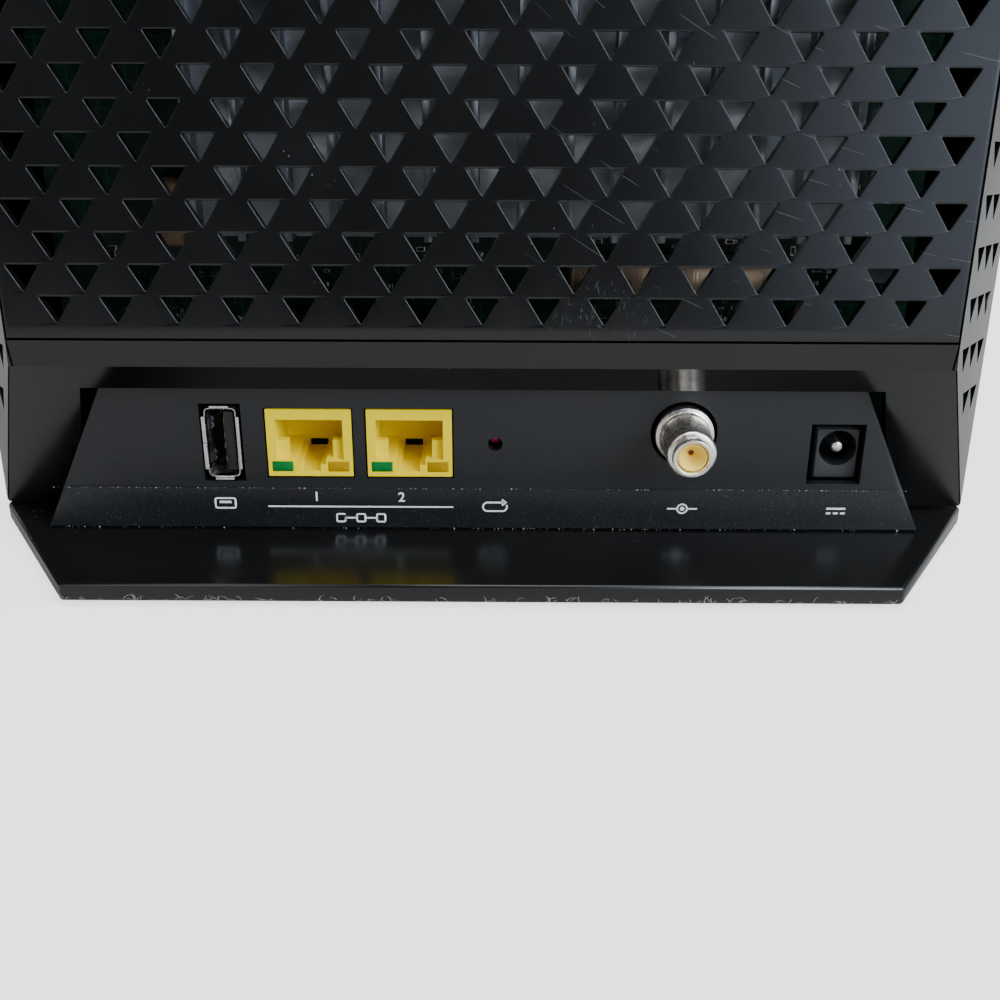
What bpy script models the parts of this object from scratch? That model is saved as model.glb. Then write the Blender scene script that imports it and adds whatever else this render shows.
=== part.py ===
"""Upright cable-modem router with a back of triangular vents.

Lengths are in metres. +Z is up, the sockets face -Y, and the origin is the
middle of the face that the router stands on.
"""

import math

import bmesh
import bpy
from mathutils import Matrix, Vector

MM = 0.001
GAP = 0.3 * MM            # clearance between neighbouring pieces
WALL = 2.2 * MM           # thickness of the moulded covers
BLOCK = 0.5               # size of the block that plane-cut solids start from
REACH = 60 * MM           # how far cutters run past what they cut

# Foot: outline of its right half, rear to front, mirrored to the left
FOOT_BOTTOM = 1.2 * MM
FOOT_TOP = 4.5 * MM
FOOT_REAR = (70.0 * MM, -42.0 * MM)
FOOT_SIDE = (89.9 * MM, -9.7 * MM)
FOOT_SHOULDER = (81.0 * MM, 34.0 * MM)
FOOT_FRONT = (76.0 * MM, 42.0 * MM)
FOOT_BEVEL = 0.4 * MM
PAD_RADIUS = 6.0 * MM
PAD_HEIGHT = 1.9 * MM
PAD_PLACES = ((60.0 * MM, -30.0 * MM), (66.0 * MM, 29.0 * MM))

# Body: a slab with six sides in plan, leaning forward with height
BODY_BOTTOM = FOOT_TOP + GAP
BODY_TOP = 230.0 * MM
LEAN = 0.1362             # forward shift per unit of height
SIDE_FLARE = 0.042        # widening of the side edges per unit of height
SIDE_EDGE = Vector((89.9, -9.7, 4.5)) * MM
BACK_CORNER = Vector((78.85, -25.7, 41.25)) * MM
LIP_BOTTOM = 36.8 * MM
FRONT_CORNER = Vector((80.0, 36.3, 4.5)) * MM
FRONT_LEAN = -0.035
TOP_REAR_CHAMFER = 4.0 * MM
TOP_FRONT_CHAMFER = 5.0 * MM
SHOULDER_HALF_WIDTH = 91.0 * MM
PANEL_TOP = 222.0 * MM    # upper edge of the removable back grille

# Vents: triangles with a point down, a little flatter than equilateral ones
VENT_WIDTH = 5.4 * MM
VENT_HEIGHT = 4.35 * MM
VENT_PITCH = 10.0 * MM
VENT_ROW_PITCH = 5.15 * MM
VENT_FIRST_ROW = 7.19 * MM
VENT_ROWS = 32
SIDE_VENT_COLUMNS = (6.0 * MM, 12.3 * MM, 18.6 * MM)
SIDE_VENT_PITCH = 8.4 * MM
SIDE_VENT_FIRST = 22.0 * MM
SIDE_VENT_ROWS = 23
VENT_MARGIN = 3.6 * MM

# Port panel: a box with sloping sides under the lip
PANEL_REAR = -19.9 * MM
PANEL_FRONT = -7.5 * MM
PANEL_HEIGHT = 31.35 * MM
PANEL_LOW_HALF = 78.4 * MM
PANEL_HIGH_HALF = 66.3 * MM
PANEL_WALL = 2.0 * MM
STRIP_TOP = 12.4 * MM
STRIP_STEP = 0.5 * MM
STRIP_HALF = 75.3 * MM
BAY_CUT = ((79.4 * MM, 3.0 * MM), (70.9 * MM, 22.7 * MM), (68.4 * MM, 32.2 * MM))

# Boards
BOARD_REAR = -4.9 * MM
BOARD_THICK = 1.6 * MM
BOARD_HALF = 76.0 * MM
BOARD_BOTTOM = 8.3 * MM
BOARD_TOP = 165.0 * MM
MOUNT_FACE = BOARD_REAR - GAP
FRONT_BOARD_REAR = 22.0 * MM

# Sockets: centres along X and Z
USB_CENTRE = (-45.95 * MM, 20.9 * MM)
ETHERNET_CENTRES = ((-30.6 * MM, 20.9 * MM), (-13.0 * MM, 20.9 * MM))
RESET_CENTRE = (2.1 * MM, 20.9 * MM)
COAX_CENTRE = (35.2 * MM, 23.1 * MM)
DC_CENTRE = (63.1 * MM, 19.55 * MM)
JACK_WIDTH = 15.0 * MM
JACK_HEIGHT = 12.6 * MM

# Front buttons and status window
BUTTON_CENTRES = {"wifi": (-14.0 * MM, 26.0 * MM), "wps": (14.0 * MM, 26.0 * MM)}
BUTTON_RADIUS = 4.5 * MM
WINDOW_HALF = 4.0 * MM
WINDOW_BOTTOM = 62.0 * MM
WINDOW_TOP = 192.0 * MM

SCREW_PLACES = ((71.0 * MM, 40.0 * MM), (71.0 * MM, 158.0 * MM))
BASE_SCREW_PLACES = ((24.0 * MM, 5.0 * MM), (62.0 * MM, 5.0 * MM))

TOWARDS_REAR = Matrix.Rotation(math.radians(90), 4, "X")
TOWARDS_FRONT = Matrix.Rotation(math.radians(-90), 4, "X")
UPWARDS = Matrix.Identity(4)


# Scene and finishes

def clear_scene():
    for thing in list(bpy.data.objects):
        bpy.data.objects.remove(thing, do_unlink=True)


def finish(name, colour, roughness, metallic=0.0):
    material = bpy.data.materials.new(name)
    material.use_nodes = True
    shader = material.node_tree.nodes["Principled BSDF"]
    shader.inputs["Base Color"].default_value = (*colour, 1.0)
    shader.inputs["Roughness"].default_value = roughness
    shader.inputs["Metallic"].default_value = metallic
    material.diffuse_color = (*colour, 1.0)
    return material


def make_finishes():
    return {
        "gloss": finish("gloss_black", (0.012, 0.013, 0.014), 0.14),
        "matte": finish("matte_black", (0.017, 0.019, 0.021), 0.55),
        "rubber": finish("rubber", (0.02, 0.02, 0.02), 0.9),
        "board": finish("green_board", (0.01, 0.09, 0.03), 0.45),
        "chip": finish("chip_black", (0.02, 0.02, 0.02), 0.5),
        "aluminium": finish("aluminium", (0.75, 0.76, 0.78), 0.35, 1.0),
        "steel": finish("steel", (0.6, 0.6, 0.6), 0.3, 1.0),
        "nickel": finish("nickel", (0.72, 0.7, 0.66), 0.25, 1.0),
        "yellow": finish("yellow", (0.95, 0.8, 0.0), 0.4),
        "green_lens": finish("green_lens", (0.02, 0.5, 0.12), 0.3),
        "amber_lens": finish("amber_lens", (0.6, 0.33, 0.02), 0.3),
        "red": finish("red_button", (0.5, 0.01, 0.04), 0.4),
        "cream": finish("cream", (0.85, 0.66, 0.36), 0.5),
        "tan": finish("tan", (0.6, 0.42, 0.25), 0.6),
        "pad": finish("thermal_pad", (0.45, 0.5, 0.6), 0.8),
        "smoked": finish("smoked_window", (0.03, 0.03, 0.035), 0.1),
        "clear": finish("light_guide", (0.85, 0.88, 0.9), 0.2),
        "lead": finish("lead_black", (0.03, 0.03, 0.03), 0.6),
    }


# Mesh builders

def prism(outline, low, high, along="Z"):
    """Extrude a flat outline: (x, y) points along Z, or (x, z) points along Y."""
    bm = bmesh.new()
    if along == "Z":
        ring = [bm.verts.new((x, y, low)) for x, y in outline]
        step = Vector((0, 0, high - low))
    else:
        ring = [bm.verts.new((x, low, z)) for x, z in outline]
        step = Vector((0, high - low, 0))
    base = bm.faces.new(ring)
    extruded = bmesh.ops.extrude_face_region(bm, geom=[base])
    moved = [item for item in extruded["geom"] if isinstance(item, bmesh.types.BMVert)]
    bmesh.ops.translate(bm, verts=moved, vec=step)
    bmesh.ops.recalc_face_normals(bm, faces=bm.faces[:])
    return bm


def block(low, high):
    """A box between two opposite corners."""
    outline = [(low[0], low[1]), (high[0], low[1]), (high[0], high[1]), (low[0], high[1])]
    return prism(outline, low[2], high[2])


def turned(profile, centre, facing, steps=24):
    """Spin (radius, height) points, which start and end on the axis."""
    bm = bmesh.new()
    points = [bm.verts.new((radius, 0, height)) for radius, height in profile]
    edges = [bm.edges.new(pair) for pair in zip(points, points[1:])]
    bmesh.ops.spin(bm, geom=points + edges, cent=(0, 0, 0), axis=(0, 0, 1),
                   angle=math.tau, steps=steps, use_merge=True)
    bmesh.ops.remove_doubles(bm, verts=bm.verts[:], dist=1e-6)
    bmesh.ops.recalc_face_normals(bm, faces=bm.faces[:])
    bmesh.ops.transform(bm, matrix=Matrix.Translation(centre) @ facing, verts=bm.verts[:])
    return bm


def rod(radius, low, high, centre, facing, steps=24):
    profile = ((0, low), (radius, low), (radius, high), (0, high))
    return turned(profile, centre, facing, steps)


def convex(planes):
    """Cut a large block down to the space behind every (point, normal) plane."""
    bm = bmesh.new()
    bmesh.ops.create_cube(bm, size=2 * BLOCK)
    for point, normal in planes:
        everything = bm.verts[:] + bm.edges[:] + bm.faces[:]
        bmesh.ops.bisect_plane(bm, geom=everything, dist=1e-6, plane_co=point,
                               plane_no=normal, clear_outer=True)
        rim = [edge for edge in bm.edges if edge.is_boundary]
        if rim:
            bmesh.ops.contextual_create(bm, geom=rim)
    bmesh.ops.recalc_face_normals(bm, faces=bm.faces[:])
    return bm


def merge(target, extra):
    """Move one mesh's shapes into another and free the first."""
    scratch = bpy.data.meshes.new("scratch")
    extra.to_mesh(scratch)
    extra.free()
    target.from_mesh(scratch)
    bpy.data.meshes.remove(scratch)


# Objects

def add_piece(name, bm, material, origin=(0, 0, 0), round_piece=False):
    mesh = bpy.data.meshes.new(name)
    bmesh.ops.translate(bm, verts=bm.verts[:], vec=-Vector(origin))
    bm.to_mesh(mesh)
    bm.free()
    mesh.materials.append(material)
    piece = bpy.data.objects.new(name, mesh)
    piece.location = origin
    bpy.context.collection.objects.link(piece)
    if round_piece:
        mesh.shade_smooth()
        mesh.set_sharp_from_angle(angle=math.radians(35))
    return piece


def combine(piece, bm, operation):
    """Boolean a tool shape with a piece, keeping the tool as a hidden object."""
    tool = add_piece(f"{piece.name}_tool", bm, piece.data.materials[0])
    tool.hide_render = True
    tool.display_type = "WIRE"
    modifier = piece.modifiers.new(operation.lower(), "BOOLEAN")
    modifier.object = tool
    modifier.operation = operation
    modifier.solver = "EXACT"


def carve(piece, bm):
    combine(piece, bm, "DIFFERENCE")


def unite(piece, bm):
    combine(piece, bm, "UNION")


def bevel(piece, width, segments=1, angle=40):
    modifier = piece.modifiers.new("bevel", "BEVEL")
    modifier.width = width
    modifier.segments = segments
    modifier.limit_method = "ANGLE"
    modifier.angle_limit = math.radians(angle)


# Body planes, each a point on the plane and its outward normal

def mirror_x(vector):
    return Vector((-vector.x, vector.y, vector.z))


def shifted(plane, distance):
    point, normal = plane
    return point + normal * distance, normal


def reversed_plane(plane):
    point, normal = plane
    return point, -normal


def plane_through(first, second, third, outside):
    normal = (second - first).cross(third - first).normalized()
    if normal.dot(outside) < 0:
        normal.negate()
    return first, normal


def mirrored(plane):
    point, normal = plane
    return mirror_x(point), mirror_x(normal)


def side_direction():
    return Vector((SIDE_FLARE, LEAN, 1)).normalized()


def side_plane(corner, outside):
    """The plane through the side edge and a front or back corner."""
    return plane_through(SIDE_EDGE, SIDE_EDGE + side_direction(), corner, outside)


def body_planes():
    """Every face of the body's outside, by name."""
    lip_rise = LIP_BOTTOM - SIDE_EDGE.z
    lip_overhang = BACK_CORNER.y - SIDE_EDGE.y
    top_rear = BACK_CORNER.y + LEAN * (BODY_TOP - BACK_CORNER.z)
    top_front = FRONT_CORNER.y + FRONT_LEAN * (BODY_TOP - FRONT_CORNER.z)
    planes = {
        "bottom": (Vector((0, 0, BODY_BOTTOM)), Vector((0, 0, -1))),
        "under_lip": (Vector((0, SIDE_EDGE.y, SIDE_EDGE.z)),
                      Vector((0, -lip_rise, lip_overhang)).normalized()),
        "band": (Vector((0, BACK_CORNER.y, 0)), Vector((0, -1, 0))),
        "grille": (Vector((0, BACK_CORNER.y, BACK_CORNER.z)), Vector((0, -1, LEAN)).normalized()),
        "rear_right": side_plane(BACK_CORNER, Vector((1, -1, 0))),
        "front_right": side_plane(FRONT_CORNER, Vector((1, 1, 0))),
        "front": (Vector((0, FRONT_CORNER.y, FRONT_CORNER.z)),
                  Vector((0, 1, -FRONT_LEAN)).normalized()),
        "top": (Vector((0, 0, BODY_TOP)), Vector((0, 0, 1))),
        "top_rear": (Vector((0, top_rear + TOP_REAR_CHAMFER, BODY_TOP)),
                     Vector((0, -1, 1)).normalized()),
        "top_front": (Vector((0, top_front - TOP_FRONT_CHAMFER, BODY_TOP)),
                      Vector((0, 1, 1)).normalized()),
        "shoulder_right": (Vector((SHOULDER_HALF_WIDTH, 0, BODY_TOP)), Vector((1, 0, 1)).normalized()),
    }
    for side in ("rear", "front", "shoulder"):
        planes[f"{side}_left"] = mirrored(planes[f"{side}_right"])
    return planes


FRONT_FACES = ("front_right", "front_left", "front", "top_front")
REAR_FACES = ("under_lip", "band", "grille", "rear_right", "rear_left", "top_rear")


def cavity_planes(faces):
    """The named faces and the top's moved in by one wall, open below and beyond."""
    names = faces + ("top", "shoulder_right", "shoulder_left")
    planes = body_planes()
    return [shifted(planes[name], -WALL) for name in names]


def parting_plane():
    """The plane through both side edges, where the front and rear covers meet."""
    return SIDE_EDGE.copy(), Vector((0, 1, -LEAN)).normalized()


def mitre_plane(first, second, corner):
    """The plane that halves the corner between two faces, facing the second."""
    return corner, (second[1] - first[1]).normalized()


def height_plane(height, upwards=True):
    return Vector((0, 0, height)), Vector((0, 0, 1 if upwards else -1))


def back_edge_mitres():
    planes = body_planes()
    right = mitre_plane(planes["grille"], planes["rear_right"], BACK_CORNER)
    return [right, mirrored(right)]


def rim_mitres():
    planes = body_planes()
    right = mitre_plane(planes["under_lip"], planes["rear_right"], SIDE_EDGE)
    return [right, mirrored(right)]


# Vents

def vent_prism(centre, across, up, out):
    """One triangular hole's cutter, pointing down the panel."""
    corners = (across * (-VENT_WIDTH / 2) + up * (VENT_HEIGHT / 2),
               across * (VENT_WIDTH / 2) + up * (VENT_HEIGHT / 2),
               up * (-VENT_HEIGHT / 2))
    bm = bmesh.new()
    ring = [bm.verts.new(centre + corner - out * (2 * WALL)) for corner in corners]
    base = bm.faces.new(ring)
    extruded = bmesh.ops.extrude_face_region(bm, geom=[base])
    moved = [item for item in extruded["geom"] if isinstance(item, bmesh.types.BMVert)]
    bmesh.ops.translate(bm, verts=moved, vec=out * (4 * WALL))
    bmesh.ops.recalc_face_normals(bm, faces=bm.faces[:])
    return bm


def grille_vents():
    """Rows of 15 and 16 holes in turn, each half a pitch from the last."""
    out = body_planes()["grille"][1]
    across = Vector((1, 0, 0))
    up = Vector((0, LEAN, 1)).normalized()
    start = Vector((0, BACK_CORNER.y, BACK_CORNER.z))
    holes = bmesh.new()
    for row in range(VENT_ROWS):
        count = 15 if row % 2 == 0 else 16
        rise = VENT_FIRST_ROW + row * VENT_ROW_PITCH - VENT_HEIGHT / 2
        for column in range(count):
            sideways = (column - (count - 1) / 2) * VENT_PITCH
            merge(holes, vent_prism(start + across * sideways + up * rise, across, up, out))
    return holes


def side_vents(side):
    """Straight columns of holes that stop short of the side panel's edges."""
    planes = body_planes()
    out = planes["rear_right"][1]
    up = side_direction()
    across = up.cross(out).normalized()
    if across.y > 0:
        across.negate()
    limits = [planes["under_lip"], planes["band"], planes["grille"]]
    holes = bmesh.new()
    for row in range(SIDE_VENT_ROWS):
        for column in SIDE_VENT_COLUMNS:
            rise = SIDE_VENT_FIRST + row * SIDE_VENT_PITCH
            centre = SIDE_EDGE + up * rise + across * column
            depths = [(point - centre).dot(normal) for point, normal in limits]
            if min(depths) > VENT_MARGIN:
                merge(holes, vent_prism(centre, across, up, out))
    if side < 0:
        bmesh.ops.scale(holes, vec=(-1, 1, 1), verts=holes.verts[:])
        bmesh.ops.reverse_faces(holes, faces=holes.faces[:])
    return holes


# Casing

def foot_outline():
    right = [FOOT_REAR, FOOT_SIDE, FOOT_SHOULDER, FOOT_FRONT]
    return right + [(-x, y) for x, y in reversed(right)]


def make_foot(finishes):
    plate = add_piece("base_plate", prism(foot_outline(), FOOT_BOTTOM, FOOT_TOP), finishes["gloss"])
    bevel(plate, FOOT_BEVEL)
    holes = bmesh.new()
    pads = [(side * x, y) for x, y in PAD_PLACES for side in (1, -1)]
    for number, (x, y) in enumerate(pads, start=1):
        merge(holes, rod(PAD_RADIUS + GAP, -REACH, PAD_HEIGHT + GAP, (x, y, 0), UPWARDS))
        pad = rod(PAD_RADIUS, 0, PAD_HEIGHT, (x, y, 0), UPWARDS)
        add_piece(f"rubber_foot_{number}", pad, finishes["rubber"], round_piece=True)
    for x, y in base_screw_places():
        merge(holes, rod(3.3 * MM, -REACH, 3.1 * MM, (x, y, 0), UPWARDS, steps=16))
    carve(plate, holes)
    shafts = bmesh.new()
    for x, y in base_screw_places():
        merge(shafts, rod(1.8 * MM, -REACH, REACH, (x, y, 0), UPWARDS, steps=16))
    carve(plate, shafts)


def base_screw_places():
    return [(side * x, y) for x, y in BASE_SCREW_PLACES for side in (1, -1)]


def make_rear_cover(finishes):
    outer = list(body_planes().values())
    outer.append(shifted(parting_plane(), -GAP / 2))
    cover = add_piece("rear_cover", convex(outer), finishes["gloss"])
    carve(cover, convex(cavity_planes(REAR_FACES)))
    back_window = [shifted(plane, GAP / 2) for plane in back_edge_mitres()]
    back_window += [height_plane(PANEL_TOP), height_plane(BODY_BOTTOM + 20 * MM, upwards=False)]
    carve(cover, convex(back_window))
    bay = [shifted(plane, GAP / 2) for plane in rim_mitres()]
    bay += [height_plane(LIP_BOTTOM), height_plane(-REACH, upwards=False)]
    carve(cover, convex(bay))
    for side in (1, -1):
        carve(cover, side_vents(side))


def make_back_grille(finishes):
    face = body_planes()["grille"]
    planes = [face, reversed_plane(shifted(face, -WALL))]
    planes += [shifted(plane, -GAP / 2) for plane in back_edge_mitres()]
    planes += [height_plane(PANEL_TOP - GAP), height_plane(BACK_CORNER.z + GAP, upwards=False)]
    grille = add_piece("back_grille", convex(planes), finishes["gloss"])
    carve(grille, grille_vents())


def make_lip_frame(finishes):
    """The band over the sockets and the slanting wall below it."""
    planes = body_planes()
    depth = (Vector((0, -4 * MM, 0)), Vector((0, 1, 0)))
    outer = [planes[name] for name in ("band", "under_lip", "bottom", "rear_right", "rear_left")]
    outer += [height_plane(BACK_CORNER.z), depth, shifted(parting_plane(), -GAP / 2)]
    frame = add_piece("lip_frame", convex(outer), finishes["gloss"])
    inner = [shifted(planes["band"], -WALL), shifted(planes["under_lip"], -WALL)]
    carve(frame, convex(inner))
    above = height_plane(LIP_BOTTOM, upwards=False)
    below = height_plane(LIP_BOTTOM)
    for mitres, limit in ((back_edge_mitres(), above), (rim_mitres(), below)):
        for mitre in mitres:
            carve(frame, convex([reversed_plane(shifted(mitre, -GAP / 2)), limit]))
    right = list(BAY_CUT)
    opening = right + [(-x, z) for x, z in reversed(right)]
    carve(frame, prism(opening, -REACH, REACH, along="Y"))


def make_front_cover(finishes):
    outer = list(body_planes().values())
    outer.append(reversed_plane(shifted(parting_plane(), GAP / 2)))
    cover = add_piece("front_cover", convex(outer), finishes["gloss"])
    carve(cover, convex(cavity_planes(FRONT_FACES)))
    low = (-WINDOW_HALF - GAP, REACH / 3, WINDOW_BOTTOM - GAP)
    high = (WINDOW_HALF + GAP, REACH, WINDOW_TOP + GAP)
    carve(cover, block(low, high))
    holes = bmesh.new()
    for x, z in BUTTON_CENTRES.values():
        merge(holes, rod(BUTTON_RADIUS + GAP, 20 * MM, REACH, (x, 0, z), TOWARDS_FRONT))
    carve(cover, holes)


def make_status_window(finishes):
    face = body_planes()["front"]
    planes = [face, reversed_plane(shifted(face, -WALL)),
              (Vector((WINDOW_HALF, 0, 0)), Vector((1, 0, 0))),
              (Vector((-WINDOW_HALF, 0, 0)), Vector((-1, 0, 0))),
              height_plane(WINDOW_TOP), height_plane(WINDOW_BOTTOM, upwards=False)]
    add_piece("status_window", convex(planes), finishes["smoked"])


def panel_outline(inset=0.0):
    """The port panel's trapezoid as (x, z) points, moved in by a wall."""
    slope = (PANEL_LOW_HALF - PANEL_HIGH_HALF) / (PANEL_HEIGHT - BODY_BOTTOM)
    side_inset = inset * math.sqrt(1 + slope ** 2)
    low = PANEL_LOW_HALF - side_inset - inset * slope
    high = PANEL_HIGH_HALF - side_inset + inset * slope
    bottom = BODY_BOTTOM + inset
    top = PANEL_HEIGHT - inset
    return [(-low, bottom), (low, bottom), (high, top), (-high, top)]


def make_port_panel(finishes):
    panel = add_piece("port_panel", prism(panel_outline(), PANEL_REAR, PANEL_FRONT, "Y"),
                      finishes["matte"])
    strip = [(-PANEL_LOW_HALF, BODY_BOTTOM), (PANEL_LOW_HALF, BODY_BOTTOM),
             (STRIP_HALF, STRIP_TOP - 1.2 * MM), (STRIP_HALF - 1.4 * MM, STRIP_TOP),
             (1.4 * MM - STRIP_HALF, STRIP_TOP), (-STRIP_HALF, STRIP_TOP - 1.2 * MM)]
    unite(panel, prism(strip, PANEL_REAR - STRIP_STEP, PANEL_REAR + STRIP_STEP, "Y"))
    carve(panel, prism(panel_outline(PANEL_WALL), PANEL_REAR + PANEL_WALL, REACH, "Y"))
    carve(panel, socket_openings())


def socket_openings():
    openings = bmesh.new()
    rear = PANEL_REAR - REACH / 10
    front = PANEL_REAR + REACH / 10
    boxes = [(USB_CENTRE, 7.3 * MM, 14.6 * MM), ((62.3 * MM, 19.2 * MM), 9.6 * MM, 11.4 * MM)]
    boxes += [(centre, JACK_WIDTH + 2 * GAP, JACK_HEIGHT + 2 * GAP) for centre in ETHERNET_CENTRES]
    for (x, z), width, height in boxes:
        low = (x - width / 2, rear, z - height / 2)
        merge(openings, block(low, (x + width / 2, front, z + height / 2)))
    for (x, z), radius in ((RESET_CENTRE, 1.3 * MM), (COAX_CENTRE, 5.9 * MM)):
        merge(openings, rod(radius, -front, -rear, (x, 0, z), TOWARDS_REAR))
    return openings


# Boards and what stands on them

def make_inner_frame(finishes):
    """The upright bracket that holds the boards and the antennas."""
    rear = BOARD_REAR + BOARD_THICK + GAP
    post_in = 66 * MM
    rail = block((-post_in, rear, BODY_BOTTOM), (post_in, 12 * MM, 12 * MM))
    frame = add_piece("inner_frame", rail, finishes["matte"])
    for side in (1, -1):
        inner, outer = sorted((side * (post_in - MM), side * BOARD_HALF))
        unite(frame, block((inner, rear, BODY_BOTTOM), (outer, 8 * MM, 168 * MM)))
    top = block((-80 * MM, rear, BOARD_TOP + MM), (80 * MM, 14 * MM, BOARD_TOP + 5 * MM))
    unite(frame, top)
    holes = bmesh.new()
    for x, z in board_screw_places():
        merge(holes, rod(1.7 * MM, -REACH, REACH, (x, 0, z), TOWARDS_REAR, steps=16))
    for x, y in base_screw_places():
        merge(holes, rod(1.8 * MM, 0, 10.5 * MM, (x, y, 0), UPWARDS, steps=16))
    carve(frame, holes)


def board_screw_places():
    return [(side * x, z) for x, z in SCREW_PLACES for side in (1, -1)]


def make_main_board(finishes):
    low = (-BOARD_HALF, BOARD_REAR, BOARD_BOTTOM)
    high = (BOARD_HALF, BOARD_REAR + BOARD_THICK, BOARD_TOP)
    board = add_piece("main_board", block(low, high), finishes["board"])
    holes = bmesh.new()
    for x, z in board_screw_places():
        merge(holes, rod(1.7 * MM, -REACH, REACH, (x, 0, z), TOWARDS_REAR, steps=16))
    carve(board, holes)


def on_board(name, low, high, height, material, start=0.0, edge=0.0):
    """A block on the main board: low and high are (x, z), height is towards the rear."""
    rear = MOUNT_FACE - start - height
    piece = add_piece(name, block((low[0], rear, low[1]), (high[0], MOUNT_FACE - start, high[1])),
                      material)
    if edge:
        bevel(piece, edge)
    return piece


def make_board_parts(finishes):
    chip_height = 1.2 * MM
    pad_start = chip_height + GAP
    chips = {"main_chip": (-20, 78, 26), "tuner_chip": (36, 82, 20)}
    for number, (name, (x, z, size)) in enumerate(chips.items(), start=1):
        half = size * MM / 2
        low = (x * MM - half, z * MM - half)
        high = (x * MM + half, z * MM + half)
        on_board(name, low, high, chip_height, finishes["chip"])
        on_board(f"thermal_pad_{number}", low, high, 0.5 * MM, finishes["pad"], pad_start)
    on_board("tuner_shield", (15 * MM, 45.5 * MM), (51 * MM, 51.5 * MM), 5.5 * MM,
             finishes["steel"], edge=0.5 * MM)
    on_board("radio_shield_1", (-60 * MM, 114 * MM), (-14 * MM, 144 * MM), 2.6 * MM,
             finishes["steel"], edge=0.4 * MM)
    on_board("radio_shield_2", (12 * MM, 114 * MM), (58 * MM, 144 * MM), 2.6 * MM,
             finishes["steel"], edge=0.4 * MM)
    on_board("ethernet_transformer", (-34 * MM, 33 * MM), (-10 * MM, 42 * MM), 6 * MM,
             finishes["chip"], edge=0.4 * MM)
    on_board("filter_coil", (-56 * MM, 53.5 * MM), (-50.4 * MM, 64.5 * MM), 7 * MM,
             finishes["tan"], edge=1.2 * MM)
    for number, (x, z) in enumerate(((57, 38), (68, 52), (5, 38)), start=1):
        can = ((0, 0), (4 * MM, 0), (4 * MM, 8.4 * MM), (3.4 * MM, 9 * MM), (0, 9 * MM))
        add_piece(f"capacitor_{number}",
                  turned(can, (x * MM, MOUNT_FACE, z * MM), TOWARDS_REAR), finishes["aluminium"],
                  round_piece=True)


def make_heat_sink(finishes):
    """A finned plate: a comb outline extruded upwards."""
    left, right = -49.5 * MM, 62.3 * MM
    base_front = MOUNT_FACE - 2.3 * MM
    base_rear = base_front - 1.8 * MM
    fin_rear = -13.4 * MM
    fins = 15
    fin_width = 1.4 * MM
    pitch = (right - left - fin_width) / (fins - 1)
    outline = [(right, base_front), (left, base_front)]
    for number in range(fins):
        start = left + number * pitch
        outline += [(start, fin_rear), (start + fin_width, fin_rear)]
        if number < fins - 1:
            outline += [(start + fin_width, base_rear), (start + pitch, base_rear)]
    add_piece("heat_sink", prism(outline, 55 * MM, 105 * MM), finishes["aluminium"])


# Sockets

def make_usb(finishes):
    x, z = USB_CENTRE
    mouth = PANEL_REAR - 0.3 * MM

    def sleeve(width, height, rear, front):
        low = (x - width / 2, rear, z - height / 2)
        return block(low, (x + width / 2, front, z + height / 2))

    shell = add_piece("usb_shell", sleeve(5.9 * MM, 13.3 * MM, mouth, MOUNT_FACE),
                      finishes["steel"])
    unite(shell, sleeve(6.7 * MM, 14.0 * MM, mouth, mouth + 0.5 * MM))
    cavity_front = MOUNT_FACE - 0.8 * MM
    carve(shell, sleeve(5.12 * MM, 12.5 * MM, mouth - REACH / 10, cavity_front))
    heel = sleeve(4.5 * MM, 11.9 * MM, cavity_front - GAP - 2 * MM, cavity_front - GAP)
    tongue = add_piece("usb_tongue", heel, finishes["chip"])
    low = (x + 0.35 * MM, mouth + 1.2 * MM, z - 5.55 * MM)
    unite(tongue, block(low, (x + 2.19 * MM, cavity_front - GAP - MM, z + 5.55 * MM)))


def make_ethernet_jack(number, centre, finishes):
    x, z = centre
    face = PANEL_REAR
    bottom = z - JACK_HEIGHT / 2
    half = JACK_WIDTH / 2
    body = block((x - half, face, bottom), (x + half, MOUNT_FACE, bottom + JACK_HEIGHT))
    jack = add_piece(f"ethernet_jack_{number}", body, finishes["yellow"])
    steps = ((1.8, 1.0), (1.8, 2.5), (2.8, 2.5), (2.8, 3.75), (5.9, 3.75), (5.9, 10.65))
    right = [(x + across * MM, bottom + rise * MM) for across, rise in steps]
    left = [(2 * x - across, rise) for across, rise in reversed(right)]
    carve(jack, prism(right + left, face - REACH, face + 12.5 * MM, "Y"))
    lenses = {"link_lens": (-half + 0.7 * MM, "green_lens"),
              "activity_lens": (half - 4.4 * MM, "amber_lens")}
    for name, (offset, colour) in lenses.items():
        low = Vector((x + offset, face, bottom + 0.9 * MM))
        size = Vector((3.7 * MM, 2.8 * MM, 1.9 * MM))
        clearance = Vector((0.2 * MM, 0.2 * MM, 0.2 * MM))
        carve(jack, block(low - clearance - Vector((0, MM, 0)), low + size + clearance))
        add_piece(f"{name}_{number}", block(low, low + size), finishes[colour])


def make_reset(finishes):
    x, z = RESET_CENTRE
    on_board("reset_switch", (x - 3 * MM, z - 3 * MM), (x + 3 * MM, z + 3 * MM), 4 * MM,
             finishes["chip"])
    switch = bpy.data.objects["reset_switch"]
    carve(switch, rod(1.4 * MM, 2 * MM, 10 * MM, (x, MOUNT_FACE, z), TOWARDS_REAR, steps=16))
    tip = 17.3 * MM + MOUNT_FACE
    profile = ((0, 2.8 * MM), (1.05 * MM, 2.8 * MM), (1.05 * MM, tip - 0.3 * MM),
               (0.75 * MM, tip), (0, tip))
    add_piece("reset_button", turned(profile, (x, MOUNT_FACE, z), TOWARDS_REAR, 16),
              finishes["red"], origin=(x, MOUNT_FACE, z), round_piece=True)


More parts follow.
